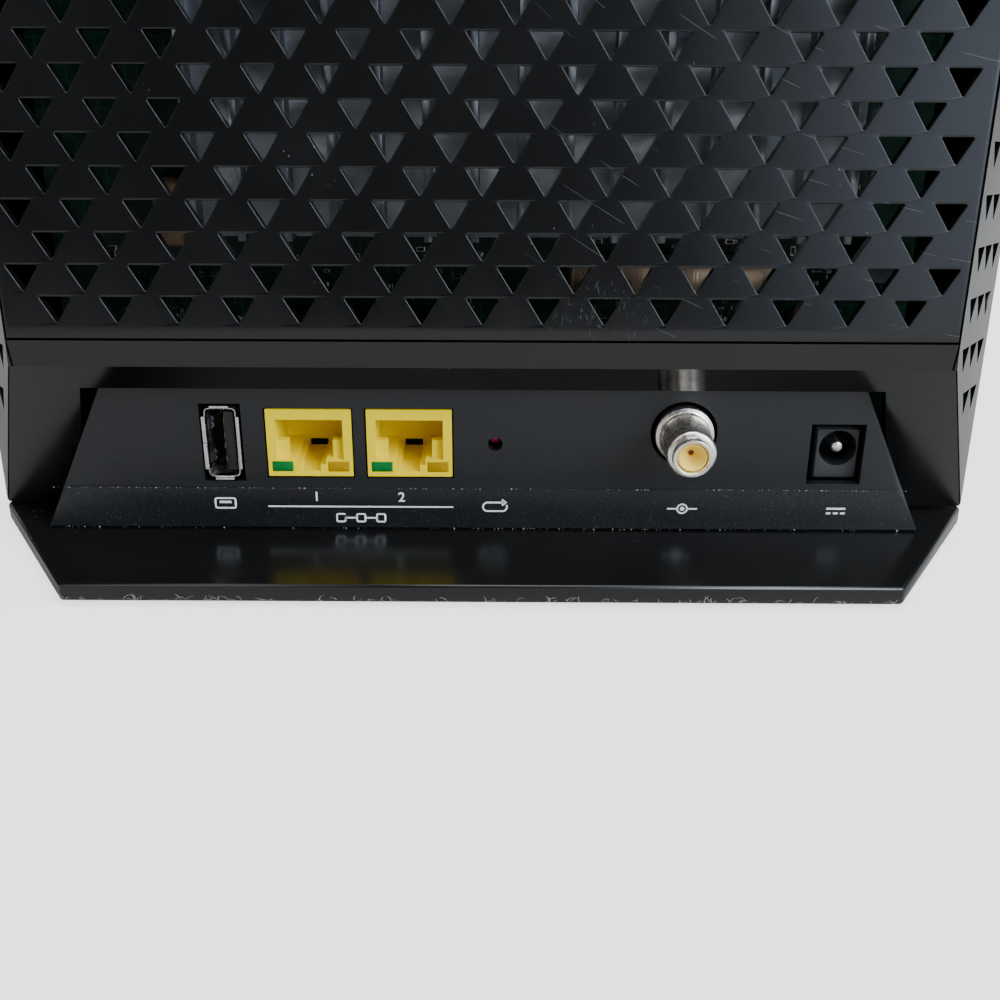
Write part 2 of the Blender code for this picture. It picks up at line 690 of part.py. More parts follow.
def make_coax(finishes):
    """A threaded cable post: collar, barrel and flange round a pale insulator."""
    x, z = COAX_CENTRE
    centre = (x, MOUNT_FACE, z)
    panel = MOUNT_FACE - PANEL_REAR
    end = panel + 11.8 * MM
    bore = 2.8 * MM
    collar = 3.4 * MM
    barrel = 4.25 * MM
    flange = 5.15 * MM
    root = 4.5 * MM
    profile = ((0, 8 * MM), (bore, 8 * MM), (bore, end), (collar - 0.2 * MM, end),
               (collar, end - 0.2 * MM), (collar, end - 1.3 * MM), (barrel, end - 1.9 * MM),
               (barrel, panel + 1.6 * MM), (flange, panel + 1.2 * MM), (flange, panel - 0.6 * MM),
               (root, panel - 0.6 * MM), (root, 0), (0, 0))
    add_piece("coax_body", turned(profile, centre, TOWARDS_REAR, 32), finishes["nickel"],
              round_piece=True)
    depth = end - 0.5 * MM
    insulator = ((0, depth - 6 * MM), (0.55 * MM, depth - 6 * MM), (0.55 * MM, depth),
                 (2.5 * MM, depth), (2.5 * MM, 8.3 * MM), (0, 8.3 * MM))
    add_piece("coax_dielectric", turned(insulator, centre, TOWARDS_REAR, 24), finishes["cream"],
              round_piece=True)


def make_dc_jack(finishes):
    x, z = DC_CENTRE
    face = PANEL_REAR + PANEL_WALL + GAP
    body = block((58.9 * MM, face, 13.6 * MM), (67.0 * MM, MOUNT_FACE, 23.5 * MM))
    jack = add_piece("dc_jack", body, finishes["chip"])
    carve(jack, rod(3.25 * MM, 2 * MM, REACH, (x, MOUNT_FACE, z), TOWARDS_REAR))
    tip = MOUNT_FACE - face - 0.5 * MM
    pin = ((0, 2.3 * MM), (MM, 2.3 * MM), (MM, tip - 0.4 * MM), (0.6 * MM, tip), (0, tip))
    add_piece("dc_pin", turned(pin, (x, MOUNT_FACE, z), TOWARDS_REAR, 16), finishes["nickel"],
              round_piece=True)


# Front controls

def make_front_board(finishes):
    """A board shaped like an upside-down T, for the buttons and the lights."""
    right = [(30 * MM, 12 * MM), (30 * MM, 44 * MM), (6 * MM, 44 * MM), (6 * MM, 194 * MM)]
    outline = right + [(-x, z) for x, z in reversed(right)]
    add_piece("front_board", prism(outline, FRONT_BOARD_REAR, FRONT_BOARD_REAR + BOARD_THICK, "Y"),
              finishes["board"])


def make_light_guide(finishes):
    """A clear bar with one rib for each status light."""
    rear = FRONT_BOARD_REAR + BOARD_THICK + GAP
    ribs = 8
    bottom = WINDOW_BOTTOM + 4 * MM
    pitch = (WINDOW_TOP - WINDOW_BOTTOM - 11 * MM) / (ribs - 1)
    bar = rear + 1.2 * MM
    outline = [(bottom + (ribs - 1) * pitch + 3 * MM, rear), (bottom, rear)]
    for rib in range(ribs):
        start = bottom + rib * pitch
        outline += [(start, bar + 1.6 * MM), (start + 3 * MM, bar + 1.6 * MM)]
        if rib < ribs - 1:
            outline += [(start + 3 * MM, bar), (start + pitch, bar)]
    bm = prism(outline, -2 * MM, 2 * MM)
    swap = Matrix(((0, 0, 1, 0), (0, 1, 0, 0), (1, 0, 0, 0), (0, 0, 0, 1)))
    bmesh.ops.transform(bm, matrix=swap, verts=bm.verts[:])
    bmesh.ops.recalc_face_normals(bm, faces=bm.faces[:])
    add_piece("light_guide", bm, finishes["clear"])


def make_front_buttons(finishes):
    face = FRONT_BOARD_REAR + BOARD_THICK + GAP
    for name, (x, z) in BUTTON_CENTRES.items():
        low = (x - 3 * MM, face, z - 3 * MM)
        switch = add_piece(f"{name}_switch", block(low, (x + 3 * MM, face + 3.6 * MM, z + 3 * MM)),
                           finishes["chip"])
        carve(switch, rod(1.9 * MM, 1.6 * MM, REACH, (x, face, z), TOWARDS_FRONT, steps=16))
        outside = FRONT_CORNER.y + FRONT_LEAN * (z - FRONT_CORNER.z) - face
        cap = outside + 0.9 * MM
        collar = outside - WALL - GAP - 0.3 * MM
        stem = 2.8 * MM
        profile = ((0, stem), (1.5 * MM, stem), (1.5 * MM, collar - 1.2 * MM),
                   (5.6 * MM, collar - 1.2 * MM), (5.6 * MM, collar), (BUTTON_RADIUS, collar),
                   (BUTTON_RADIUS, cap - 0.5 * MM), (BUTTON_RADIUS - 0.6 * MM, cap), (0, cap))
        add_piece(f"{name}_button", turned(profile, (x, face, z), TOWARDS_FRONT, 28),
                  finishes["gloss"], origin=(x, face, z), round_piece=True)


# Antennas

def make_antennas(finishes):
    stand = BOARD_TOP + 5 * MM + GAP
    for name, side in (("right", 1), ("left", -1)):
        inner, outer = sorted((side * 34 * MM, side * 78 * MM))
        add_piece(f"antenna_{name}", block((inner, 9 * MM, stand), (outer, 9.8 * MM, stand + 38 * MM)),
                  finishes["board"])
        route = [(44, -4, 0), (50, 3, 0), (60, 6, 9), (63, 8, 22), (60, 5.5, 33), (52, 5.6, 38)]
        make_lead(f"antenna_lead_{name}", [(side * x * MM, y * MM, stand + (z + 1) * MM)
                                           for x, y, z in route], finishes["lead"])


def smooth_route(points, per_span=4):
    """Points on a Catmull-Rom curve through a route."""
    ends = [2 * Vector(points[0]) - Vector(points[1])]
    knots = ends + [Vector(point) for point in points]
    knots.append(2 * knots[-1] - knots[-2])
    route = []
    for first, start, stop, last in zip(knots, knots[1:], knots[2:], knots[3:]):
        for step in range(per_span):
            t = step / per_span
            route.append(0.5 * (2 * start + (stop - first) * t
                                + (2 * first - 5 * start + 4 * stop - last) * t ** 2
                                + (3 * start - first - 3 * stop + last) * t ** 3))
    return route + [knots[-2]]


def make_lead(name, points, material):
    curve = bpy.data.curves.new(name, "CURVE")
    curve.dimensions = "3D"
    curve.bevel_depth = 0.7 * MM
    curve.bevel_resolution = 2
    curve.use_fill_caps = True
    curve.materials.append(material)
    route = smooth_route(points)
    spline = curve.splines.new("POLY")
    spline.points.add(len(route) - 1)
    for slot, place in zip(spline.points, route):
        slot.co = (*place, 1)
    bpy.context.collection.objects.link(bpy.data.objects.new(name, curve))


# Fasteners

def make_screws(finishes):
    board_profile = ((0, -12 * MM), (1.35 * MM, -12 * MM), (1.35 * MM, 0), (2.8 * MM, 0),
                     (2.8 * MM, 1.2 * MM), (2.0 * MM, 1.9 * MM), (0, 1.9 * MM))
    for number, (x, z) in enumerate(board_screw_places(), start=1):
        add_piece(f"board_screw_{number}",
                  turned(board_profile, (x, MOUNT_FACE, z), TOWARDS_REAR, 16), finishes["steel"],
                  round_piece=True)
    base_profile = ((0, 1.4 * MM), (2.9 * MM, 1.4 * MM), (2.9 * MM, 2.8 * MM), (1.5 * MM, 2.8 * MM),
                    (1.5 * MM, 10 * MM), (0, 10 * MM))
    for number, (x, y) in enumerate(base_screw_places(), start=1):
        add_piece(f"base_screw_{number}", turned(base_profile, (x, y, 0), UPWARDS, 16),
                  finishes["steel"], round_piece=True)


def main():
    clear_scene()
    finishes = make_finishes()
    make_foot(finishes)
    make_rear_cover(finishes)
    make_back_grille(finishes)
    make_lip_frame(finishes)
    make_front_cover(finishes)
    make_status_window(finishes)
    make_port_panel(finishes)
    make_inner_frame(finishes)
    make_main_board(finishes)
    make_board_parts(finishes)
    make_heat_sink(finishes)
    make_usb(finishes)
    for number, centre in enumerate(ETHERNET_CENTRES, start=1):
        make_ethernet_jack(number, centre, finishes)
    make_reset(finishes)
    make_coax(finishes)
    make_dc_jack(finishes)
    make_front_board(finishes)
    make_light_guide(finishes)
    make_front_buttons(finishes)
    make_antennas(finishes)
    make_screws(finishes)


main()
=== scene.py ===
import math

import bmesh
import bpy
import numpy as np
from mathutils import Matrix, Vector


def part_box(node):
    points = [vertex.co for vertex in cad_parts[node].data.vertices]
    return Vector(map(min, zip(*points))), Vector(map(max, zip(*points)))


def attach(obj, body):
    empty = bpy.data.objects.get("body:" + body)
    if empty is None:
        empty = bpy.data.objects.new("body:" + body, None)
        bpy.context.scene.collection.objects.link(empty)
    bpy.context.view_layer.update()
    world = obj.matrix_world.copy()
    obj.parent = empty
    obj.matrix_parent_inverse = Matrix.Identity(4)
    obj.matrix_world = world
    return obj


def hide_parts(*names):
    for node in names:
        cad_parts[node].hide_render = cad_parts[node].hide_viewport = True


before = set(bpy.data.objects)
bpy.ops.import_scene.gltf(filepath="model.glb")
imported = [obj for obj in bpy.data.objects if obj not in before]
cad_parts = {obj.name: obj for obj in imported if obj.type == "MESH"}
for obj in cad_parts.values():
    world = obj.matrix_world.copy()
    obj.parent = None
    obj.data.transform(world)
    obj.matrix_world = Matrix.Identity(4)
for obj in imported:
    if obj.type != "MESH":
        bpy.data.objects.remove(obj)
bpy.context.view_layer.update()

mm = 0.001
rest = "router"      # the body that everything but the three buttons rides on
randomSeed = 11


# Meshes from arrays

# points is (n, 3); each face set is (m, k) point numbers, k corners to a face.
def meshFromArrays(name, points, faceSets):
    points = np.asarray(points, np.float32).reshape(-1, 3)
    sets = [np.asarray(faces, np.int32) for faces in faceSets if len(faces)]
    counts = np.concatenate([np.full(len(faces), faces.shape[1]) for faces in sets])
    corners = np.concatenate([faces.ravel() for faces in sets])
    mesh = bpy.data.meshes.new(name)
    mesh.vertices.add(len(points))
    mesh.vertices.foreach_set("co", points.ravel())
    mesh.loops.add(len(corners))
    mesh.loops.foreach_set("vertex_index", corners)
    mesh.polygons.add(len(counts))
    mesh.polygons.foreach_set("loop_start", np.concatenate([[0], np.cumsum(counts)[:-1]]))
    mesh.update(calc_edges=True)
    mesh.validate()
    return mesh


# Doubles are merged, loose points dropped, faces turned outwards, and edges under the angle smoothed.
def tidyMesh(mesh, angle=35.0, weld=2e-6):
    bm = bmesh.new()
    bm.from_mesh(mesh)
    bmesh.ops.remove_doubles(bm, verts=bm.verts[:], dist=weld)
    loose = [vert for vert in bm.verts if not vert.link_faces]
    bmesh.ops.delete(bm, geom=loose, context="VERTS")
    bmesh.ops.recalc_face_normals(bm, faces=bm.faces[:])
    bm.to_mesh(mesh)
    bm.free()
    mesh.shade_smooth()
    mesh.set_sharp_from_angle(angle=math.radians(angle))
    return mesh


# Quads of a rows x columns grid; closed joins the last column to the first.
def gridQuads(rows, columns, closed=False):
    row = np.arange(rows - 1)[:, None]
    column = np.arange(columns if closed else columns - 1)[None, :]
    beside = (column + 1) % columns
    quads = [row * columns + column, row * columns + beside,
             (row + 1) * columns + beside, (row + 1) * columns + column]
    return np.stack(quads, -1).reshape(-1, 4)


# A stack of loops with equal counts, closed at both ends, as (points, faceSets).
def stackArrays(loops):
    loops = np.asarray(loops, float)
    count, size = loops.shape[:2]
    ends = [np.arange(size)[None, ::-1], (np.arange(size) + (count - 1) * size)[None]]
    return loops.reshape(-1, 3), [gridQuads(count, size, closed=True)] + ends


# Many stacks of one shape at once: loops is (copies, levels, size, 3).
def manyStacks(loops):
    copies, count, size = loops.shape[:3]
    sets = stackArrays(loops[0])[1]
    starts = (np.arange(copies) * count * size)[:, None, None]
    return loops.reshape(-1, 3), [(faces[None] + starts).reshape(-1, faces.shape[1]) for faces in sets]


def joinArrays(parts):
    points, sets, start = [], [], 0
    for partPoints, partSets in parts:
        partPoints = np.asarray(partPoints).reshape(-1, 3)
        points.append(partPoints)
        sets += [np.asarray(faces) + start for faces in partSets]
        start += len(partPoints)
    return np.concatenate(points), sets


def loopStack(name, loops, angle=35.0):
    return tidyMesh(meshFromArrays(name, *stackArrays(loops)), angle)


# Each (radius, height) in mm becomes the circle (r cos a, r sin a, h), then height is turned to -Y.
def turnedLoops(profile, centre, steps=48):
    profile = np.array(profile, float) * mm
    turn = np.linspace(0, math.tau, steps, endpoint=False)
    radius, height = profile[:, :1], profile[:, 1:]
    loops = np.stack([radius * np.cos(turn), radius * np.sin(turn),
                      np.broadcast_to(height, (len(profile), steps))], -1)
    towardsRear = np.array(Matrix.Rotation(math.radians(90), 3, "X"))
    return loops @ towardsRear.T + np.array(centre)


def turned(name, profile, centre, steps=48, angle=35.0):
    return loopStack(name, turnedLoops(profile, centre, steps), angle)


# A rectangle with quarter-circle corners, as points round the origin.
def roundedLoop(width, height, radius, arcSteps=4):
    turn = np.linspace(0, math.pi / 2, arcSteps + 1) + np.arange(4)[:, None] * math.pi / 2
    corners = np.array([[1, 1], [-1, 1], [-1, -1], [1, -1]])[:, None]
    arcs = np.stack([np.cos(turn), np.sin(turn)], -1) * radius
    return (corners * [width / 2 - radius, height / 2 - radius] + arcs).reshape(-1, 2)


# A box whose levels are rounded rectangles, drawn in at top and bottom along a quarter circle.
def roundedBlock(low, high, radius, steps=3):
    low, high = np.array(low, float), np.array(high, float)
    size, centre = high - low, (high + low) / 2
    turn = np.linspace(0, math.pi / 2, steps + 1)
    levels = [(radius * (1 - math.sin(t)), -size[2] / 2 + radius * (1 - math.cos(t))) for t in turn]
    levels += [(inset, -z) for inset, z in reversed(levels)]
    loops = []
    for inset, level in levels:
        loop = roundedLoop(size[0] - 2 * inset, size[1] - 2 * inset, max(radius - inset, radius * 0.08))
        loops.append(np.column_stack([loop, np.full(len(loop), level)]))
    return np.array(loops) + centre


# The skin between filled and empty cells of a box lattice. Each row is (filled, low, high) in mm,
# and later rows overwrite earlier ones; the lattice has a plane at every low and high.
def latticeBody(rows):
    bounds = np.array([[low, high] for filled, low, high in rows], float)
    planes = [np.unique(bounds[:, :, axis]) for axis in range(3)]
    middles = [(p[1:] + p[:-1]) / 2 for p in planes]
    x, y, z = np.meshgrid(*middles, indexing="ij")
    solid = np.zeros([len(m) + 2 for m in middles], bool)
    inner = solid[1:-1, 1:-1, 1:-1]
    for filled, low, high in rows:
        within = ((x > low[0]) & (x < high[0]) & (y > low[1]) & (y < high[1])
                  & (z > low[2]) & (z < high[2]))
        inner[within] = filled
    sizes = [len(p) for p in planes]
    faces = []
    for axis in range(3):
        change = np.diff(solid.astype(int), axis=axis)
        cells = np.argwhere(change != 0)
        cells[:, [a for a in range(3) if a != axis]] -= 1
        others = [a for a in range(3) if a != axis]
        corners = []
        for first, second in ((0, 0), (1, 0), (1, 1), (0, 1)):
            corner = cells.copy()
            corner[:, others[0]] += first
            corner[:, others[1]] += second
            corners.append(np.ravel_multi_index(corner.T, sizes))
        faces.append(np.stack(corners, -1))
    points = np.stack(np.meshgrid(*planes, indexing="ij"), -1).reshape(-1, 3) * mm
    return points, [np.concatenate(faces)]


# A ribbon of rectangular section carried along a path in mm: each path point has a loop of four
# corners, offset by half the width along the side vector and by the thickness along the lift.
def ribbon(path, width, side, lift, thickness):
    path = np.array(path, float)
    side, lift = np.array(side, float), np.array(lift, float)
    if side.ndim == 1:
        side = np.broadcast_to(side, path.shape)
    if lift.ndim == 1:
        lift = np.broadcast_to(lift, path.shape)
    half = side * width / 2
    loops = [path - half, path + half, path + half + lift * thickness, path - half + lift * thickness]
    return stackArrays(np.stack(loops, 1) * mm)


# Pieces

def addPiece(name, mesh, finish, replaced=(), body=rest):
    piece = bpy.data.objects.new(name, mesh)
    bpy.context.collection.objects.link(piece)
    mesh.materials.clear()
    mesh.materials.append(finish)
    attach(piece, body)
    if replaced:
        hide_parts(*replaced)
    return piece


def roundEdges(piece, width, segments=2):
    bevel = piece.modifiers.new("edges", "BEVEL")
    bevel.width = width * mm
    bevel.segments = segments
    bevel.limit_method = "ANGLE"
    bevel.angle_limit = math.radians(30)
    bevel.use_clamp_overlap = True
    bevel.harden_normals = True
    return piece


def evenNormals(piece):
    weights = piece.modifiers.new("normals", "WEIGHTED_NORMAL")
    weights.mode = "FACE_AREA"
    weights.weight = 90
    weights.keep_sharp = True
    return piece


# The node's own shape, merged, with its edges rounded.
def softenedCopy(node, finish, width, segments=2, body=rest):
    bm = bmesh.new()
    bm.from_mesh(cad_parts[node].data)
    bmesh.ops.remove_doubles(bm, verts=bm.verts[:], dist=2e-6)
    bmesh.ops.dissolve_limit(bm, angle_limit=math.radians(1), verts=bm.verts[:], edges=bm.edges[:])
    mesh = bpy.data.meshes.new(node + "Soft")
    bm.to_mesh(mesh)
    bm.free()
    mesh.shade_smooth()
    mesh.set_sharp_from_angle(angle=math.radians(50))
    piece = addPiece(node + "Soft", mesh, finish, [node], body)
    return roundEdges(piece, width, segments)


def paint(node, finish):
    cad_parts[node].data.materials.clear()
    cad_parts[node].data.materials.append(finish)


# Finishes

# A node tree round one Principled shader, read in Object coordinates.
class Finish:
    def __init__(self, name, colour, roughness, metallic=0.0, **extra):
        self.material = bpy.data.materials.new(name)
        self.material.use_nodes = True
        self.nodes = self.material.node_tree.nodes
        self.links = self.material.node_tree.links
        self.shader = self.nodes["Principled BSDF"]
        self.place = self.nodes.new("ShaderNodeTexCoord").outputs["Object"]
        self.shader.inputs["Base Color"].default_value = (*colour, 1)
        self.shader.inputs["Roughness"].default_value = roughness
        self.shader.inputs["Metallic"].default_value = metallic
        for key, value in extra.items():
            self.shader.inputs[key.replace("_", " ")].default_value = value
        self.normal = None

    def mapped(self, scale=(1, 1, 1), turn=(0, 0, 0), shift=(0, 0, 0)):
        mapping = self.nodes.new("ShaderNodeMapping")
        mapping.inputs["Location"].default_value = shift
        mapping.inputs["Scale"].default_value = scale
        mapping.inputs["Rotation"].default_value = turn
        self.links.new(self.place, mapping.inputs["Vector"])
        return mapping.outputs["Vector"]

    def axis(self, name):
        split = self.nodes.new("ShaderNodeSeparateXYZ")
        self.links.new(self.place, split.inputs[0])
        return split.outputs[name]

    def length(self, vector):
        node = self.nodes.new("ShaderNodeVectorMath")
        node.operation = "LENGTH"
        self.links.new(vector, node.inputs[0])
        return node.outputs["Value"]

    def noise(self, scale, detail=2.0, place=None, distortion=0.0):
        node = self.nodes.new("ShaderNodeTexNoise")
        node.inputs["Scale"].default_value = scale
        node.inputs["Detail"].default_value = detail
        node.inputs["Distortion"].default_value = distortion
        self.links.new(place or self.place, node.inputs["Vector"])
        return node.outputs["Fac"]

    def cells(self, scale, feature="F1", place=None, randomness=1.0):
        node = self.nodes.new("ShaderNodeTexVoronoi")
        node.feature = feature
        node.inputs["Scale"].default_value = scale
        node.inputs["Randomness"].default_value = randomness
        self.links.new(place or self.place, node.inputs["Vector"])
        return node.outputs["Distance"]

    def span(self, value, low, high, toLow=0.0, toHigh=1.0):
        node = self.nodes.new("ShaderNodeMapRange")
        node.inputs["From Min"].default_value = low
        node.inputs["From Max"].default_value = high
        node.inputs["To Min"].default_value = toLow
        node.inputs["To Max"].default_value = toHigh
        self.links.new(value, node.inputs["Value"])
        return node.outputs["Result"]

    def sums(self, operation, *values):
        node = self.nodes.new("ShaderNodeMath")
        node.operation = operation
        for socket, value in zip(node.inputs, values):
            if isinstance(value, (int, float)):
                socket.default_value = value
            else:
                self.links.new(value, socket)
        return node.outputs["Value"]

    def blend(self, share, first, second):
        node = self.nodes.new("ShaderNodeMix")
        node.data_type = "RGBA"
        self.links.new(share, node.inputs["Factor"])
        colours = [socket for socket in node.inputs if socket.type == "RGBA"]
        for socket, value in zip(colours, (first, second)):
            if isinstance(value, tuple):
                socket.default_value = (*value, 1)
            else:
                self.links.new(value, socket)
        return [socket for socket in node.outputs if socket.type == "RGBA"][0]

    def colour(self, value):
        self.links.new(value, self.shader.inputs["Base Color"])
        return self

    def roughness(self, value):
        self.links.new(value, self.shader.inputs["Roughness"])
        return self

    # depth is the bump's full height in mm
    def bump(self, value, depth, strength=1.0):
        node = self.nodes.new("ShaderNodeBump")
        node.inputs["Distance"].default_value = depth * mm
        node.inputs["Strength"].default_value = strength
        self.links.new(value, node.inputs["Height"])
        if self.normal:
            self.links.new(self.normal, node.inputs["Normal"])
        self.normal = node.outputs["Normal"]
        self.links.new(self.normal, self.shader.inputs["Normal"])
        return self


# Specks: the middles of small cells, kept where a slow noise is high.
def dustMask(finish, amount, scale=620):
    specks = finish.span(finish.cells(scale), 0.11, 0.05)
    drifts = finish.span(finish.noise(55, 3), 0.66 - amount, 0.8 - amount)
    return finish.sums("MULTIPLY", specks, drifts)


# Arcs round a far centre: the distance to it is cut into even steps, a thin line is bright in the
# middle of each step, and a noise keeps parts of each line.
def arcMask(finish, centre, spacing, width, amount):
    away = finish.length(finish.mapped(shift=[-value * mm for value in centre]))
    wobble = finish.sums("MULTIPLY", finish.noise(28, 2), 2.2 * mm)
    steps = finish.sums("DIVIDE", finish.sums("ADD", away, wobble), spacing * mm)
    edge = finish.sums("ABSOLUTE", finish.sums("SUBTRACT", finish.sums("FRACT", steps), 0.5))
    line = finish.span(edge, width / spacing, 0.0)
    return finish.sums("MULTIPLY", line, finish.span(finish.noise(120, 2), 0.66 - amount, 0.72 - amount))


glossSettings = {"colour": (0.0034, 0.0037, 0.0041), "dust": (0.22, 0.23, 0.24), "roughness": (0.13, 0.26)}


# Places, spacings, widths and sizes are in mm. streaks is a noise's scale, and arcs and rubbed are
# how much of the dust's colour those marks take.
scuffSettings = {"arcCentre": (95, -20, 190), "arcSpacing": 6.1, "arcWidth": 0.045, "arcs": 0.45,
                 "arcsFrom": 4, "arcsFull": 20, "spot": (19, -24.5, 45.2), "spotSize": (11, 3),
                 "streaks": 1300, "rubbed": 0.14}


# Polished black moulding with smears and specks of dust; scuffed adds hair-line arcs and a rubbed spot.
def glossBlack(name, scuffed=False, dull=0.0):
    s = glossSettings
    finish = Finish(name, s["colour"], s["roughness"][0], Specular_IOR_Level=0.5)
    marks = dustMask(finish, 0.05)
    smears = finish.noise(26, 5, distortion=0.6)
    low, high = (value + dull for value in s["roughness"])
    if scuffed:
        scuff = scuffSettings
        arcs = arcMask(finish, scuff["arcCentre"], scuff["arcSpacing"], scuff["arcWidth"], 0.13)
        rightHalf = finish.span(finish.axis("X"), scuff["arcsFrom"] * mm, scuff["arcsFull"] * mm)
        arcs = finish.sums("MULTIPLY", arcs, rightHalf)
        away = finish.length(finish.mapped(shift=[-value * mm for value in scuff["spot"]]))
        spot = finish.span(away, *(value * mm for value in scuff["spotSize"]))
        streaky = finish.mapped((1, 1, 0.3), turn=(0, 0.6, 0))
        rubbed = finish.span(finish.noise(scuff["streaks"], 4, streaky, 1.6), 0.60, 0.66)
        rubbed = finish.sums("MULTIPLY", finish.sums("MULTIPLY", rubbed, spot), scuff["rubbed"])
        arcs = finish.sums("MAXIMUM", finish.sums("MULTIPLY", arcs, scuff["arcs"]), rubbed)
        marks = finish.sums("MAXIMUM", marks, arcs)
    finish.colour(finish.blend(marks, s["colour"], s["dust"]))
    smeared = finish.span(smears, 0.35, 0.7, low, high)
    finish.roughness(finish.sums("ADD", smeared, finish.sums("MULTIPLY", marks, 0.35)))
    finish.bump(finish.noise(3800, 1), 0.0008)
    return finish.material


# deep is the painted shade of the wall under the lip beside the port panel.
lipSettings = {"edge": 36.75, "colour": (0.0034, 0.0037, 0.0041), "deep": (0.0012, 0.0012, 0.0013),
               "band": 0.2, "wall": 0.10, "outerWall": 0.18, "nearBox": 70, "outer": 79}


# The band is satin. The wall under it is smoother beside the port panel, where its colour is darkened to
# paint the shade under the lip, and it is rougher than the band at its outer ends.
def lipBlack():
    s = lipSettings
    finish = Finish("lipBlack", s["colour"], s["band"], Specular_IOR_Level=0.5)
    onBand = finish.span(finish.axis("Z"), (s["edge"] - 0.05) * mm, (s["edge"] + 0.05) * mm)
    sideways = finish.sums("ABSOLUTE", finish.axis("X"))
    outward = finish.span(sideways, s["nearBox"] * mm, s["outer"] * mm)
    smears = finish.span(finish.noise(40, 3), 0.3, 0.7, -0.03, 0.05)
    wall = finish.sums("ADD", finish.sums("MULTIPLY", outward, s["outerWall"]), s["wall"])
    mixed = finish.sums("ADD", finish.sums("MULTIPLY", onBand, s["band"]),
                        finish.sums("MULTIPLY", wall, finish.sums("SUBTRACT", 1.0, onBand)))
    finish.roughness(finish.sums("ADD", mixed, smears))
    marks = finish.sums("MULTIPLY", dustMask(finish, 0.04), 0.7)
    # Painted shade: the wall beside the port panel takes the deep colour, while the band and the outer ends
    # keep the plain black.
    shadedBlack = finish.blend(finish.sums("MAXIMUM", onBand, outward), s["deep"], s["colour"])
    finish.colour(finish.blend(marks, shadedBlack, glossSettings["dust"]))
    finish.bump(finish.noise(3800, 1), 0.0008)
    return finish.material


# pale is the colour of the painted highlights on the grain tops and of the real dust and scuffs.
panelSettings = {"colour": (0.0050, 0.0058, 0.0070), "pale": (0.050, 0.056, 0.065), "grain": 3300,
                 "stripGrain": 2700, "stripTop": 12.4, "depth": 0.035, "roughness": (0.34, 0.44)}


# Leathery moulding: two noises for the grain, the coarser one below the strip's top edge.
def texturedBlack():
    s = panelSettings
    finish = Finish("texturedBlack", s["colour"], 0.5, Specular_IOR_Level=0.5)
    onStrip = finish.span(finish.axis("Z"), (s["stripTop"] + 0.05) * mm, (s["stripTop"] - 0.05) * mm)
    fine = finish.noise(s["grain"], 3, distortion=0.4)
    coarse = finish.noise(s["stripGrain"], 5, distortion=0.8)
    grain = finish.sums("ADD", finish.sums("MULTIPLY", coarse, onStrip),
                        finish.sums("MULTIPLY", fine, finish.sums("SUBTRACT", 1.0, onStrip)))
    # Painted highlight: the grain's tops are coloured paler, fully on the strip and at 0.12 above it, for
    # light caught on the grain.
    grainTopHighlights = finish.span(coarse, 0.58, 0.74, 0.0, 0.75)
    grainTopHighlights = finish.sums("MULTIPLY", grainTopHighlights, finish.span(onStrip, 0.0, 1.0, 0.12, 1.0))
    dust = dustMask(finish, 0.05, 700)
    scuffs = arcMask(finish, (-60, -20, -40), 17, 0.05, 0.02)
    # The pale colour carries both the painted highlights on the grain tops and the real dust and scuff marks.
    pale = finish.sums("MAXIMUM", grainTopHighlights, finish.sums("MAXIMUM", dust, finish.sums("MULTIPLY", scuffs, 0.5)))
    finish.colour(finish.blend(pale, s["colour"], s["pale"]))
    finish.roughness(finish.span(finish.noise(60, 3), 0.3, 0.7, *s["roughness"]))
    finish.bump(grain, s["depth"])
    return finish.material


# Metal with a drawn grain, an uneven polish and faint stains.
def metal(name, colour, roughness, grain=(400, 400, 9000), stain=None, depth=0.003, patchScale=240):
    finish = Finish(name, colour, roughness, 1.0)
    lines = finish.noise(1.0, 4, finish.mapped(grain))
    patches = finish.noise(patchScale, 4)
    darker = tuple(value * 0.72 for value in colour)
    finish.colour(finish.blend(finish.span(patches, 0.42, 0.68), colour, stain or darker))
    finish.roughness(finish.span(lines, 0.3, 0.7, max(roughness - 0.08, 0.04), roughness + 0.1))
    finish.bump(lines, depth).bump(patches, depth)
    return finish.material


# Plain plastic with a slight drift of colour and a fine skin.
def plastic(name, colour, roughness, variation=0.12, grainScale=1600, depth=0.004, **extra):
    finish = Finish(name, colour, roughness, **extra)
    darker = tuple(value * (1 - variation) for value in colour)
    finish.colour(finish.blend(finish.span(finish.noise(180, 3), 0.35, 0.7), colour, darker))
    spread = finish.span(finish.noise(500, 2), 0.3, 0.7, max(roughness - 0.05, 0.02), roughness + 0.07)
    finish.roughness(spread)
    finish.bump(finish.noise(grainScale, 2), depth)
    return finish.material


# Solder mask over copper: borders of squarish cells are runs, kept in fields of a slow noise.
def boardGreen():
    mask, copper = (0.004, 0.042, 0.024), (0.009, 0.085, 0.046)
    finish = Finish("solderMask", mask, 0.32, Specular_IOR_Level=0.5)
    runs = finish.span(finish.cells(420, "DISTANCE_TO_EDGE", randomness=0.35), 0.10, 0.05)
    runs = finish.sums("MULTIPLY", runs, finish.span(finish.noise(90, 2), 0.48, 0.5))
    finish.colour(finish.blend(runs, mask, copper))
    finish.bump(runs, 0.02)
    return finish.material


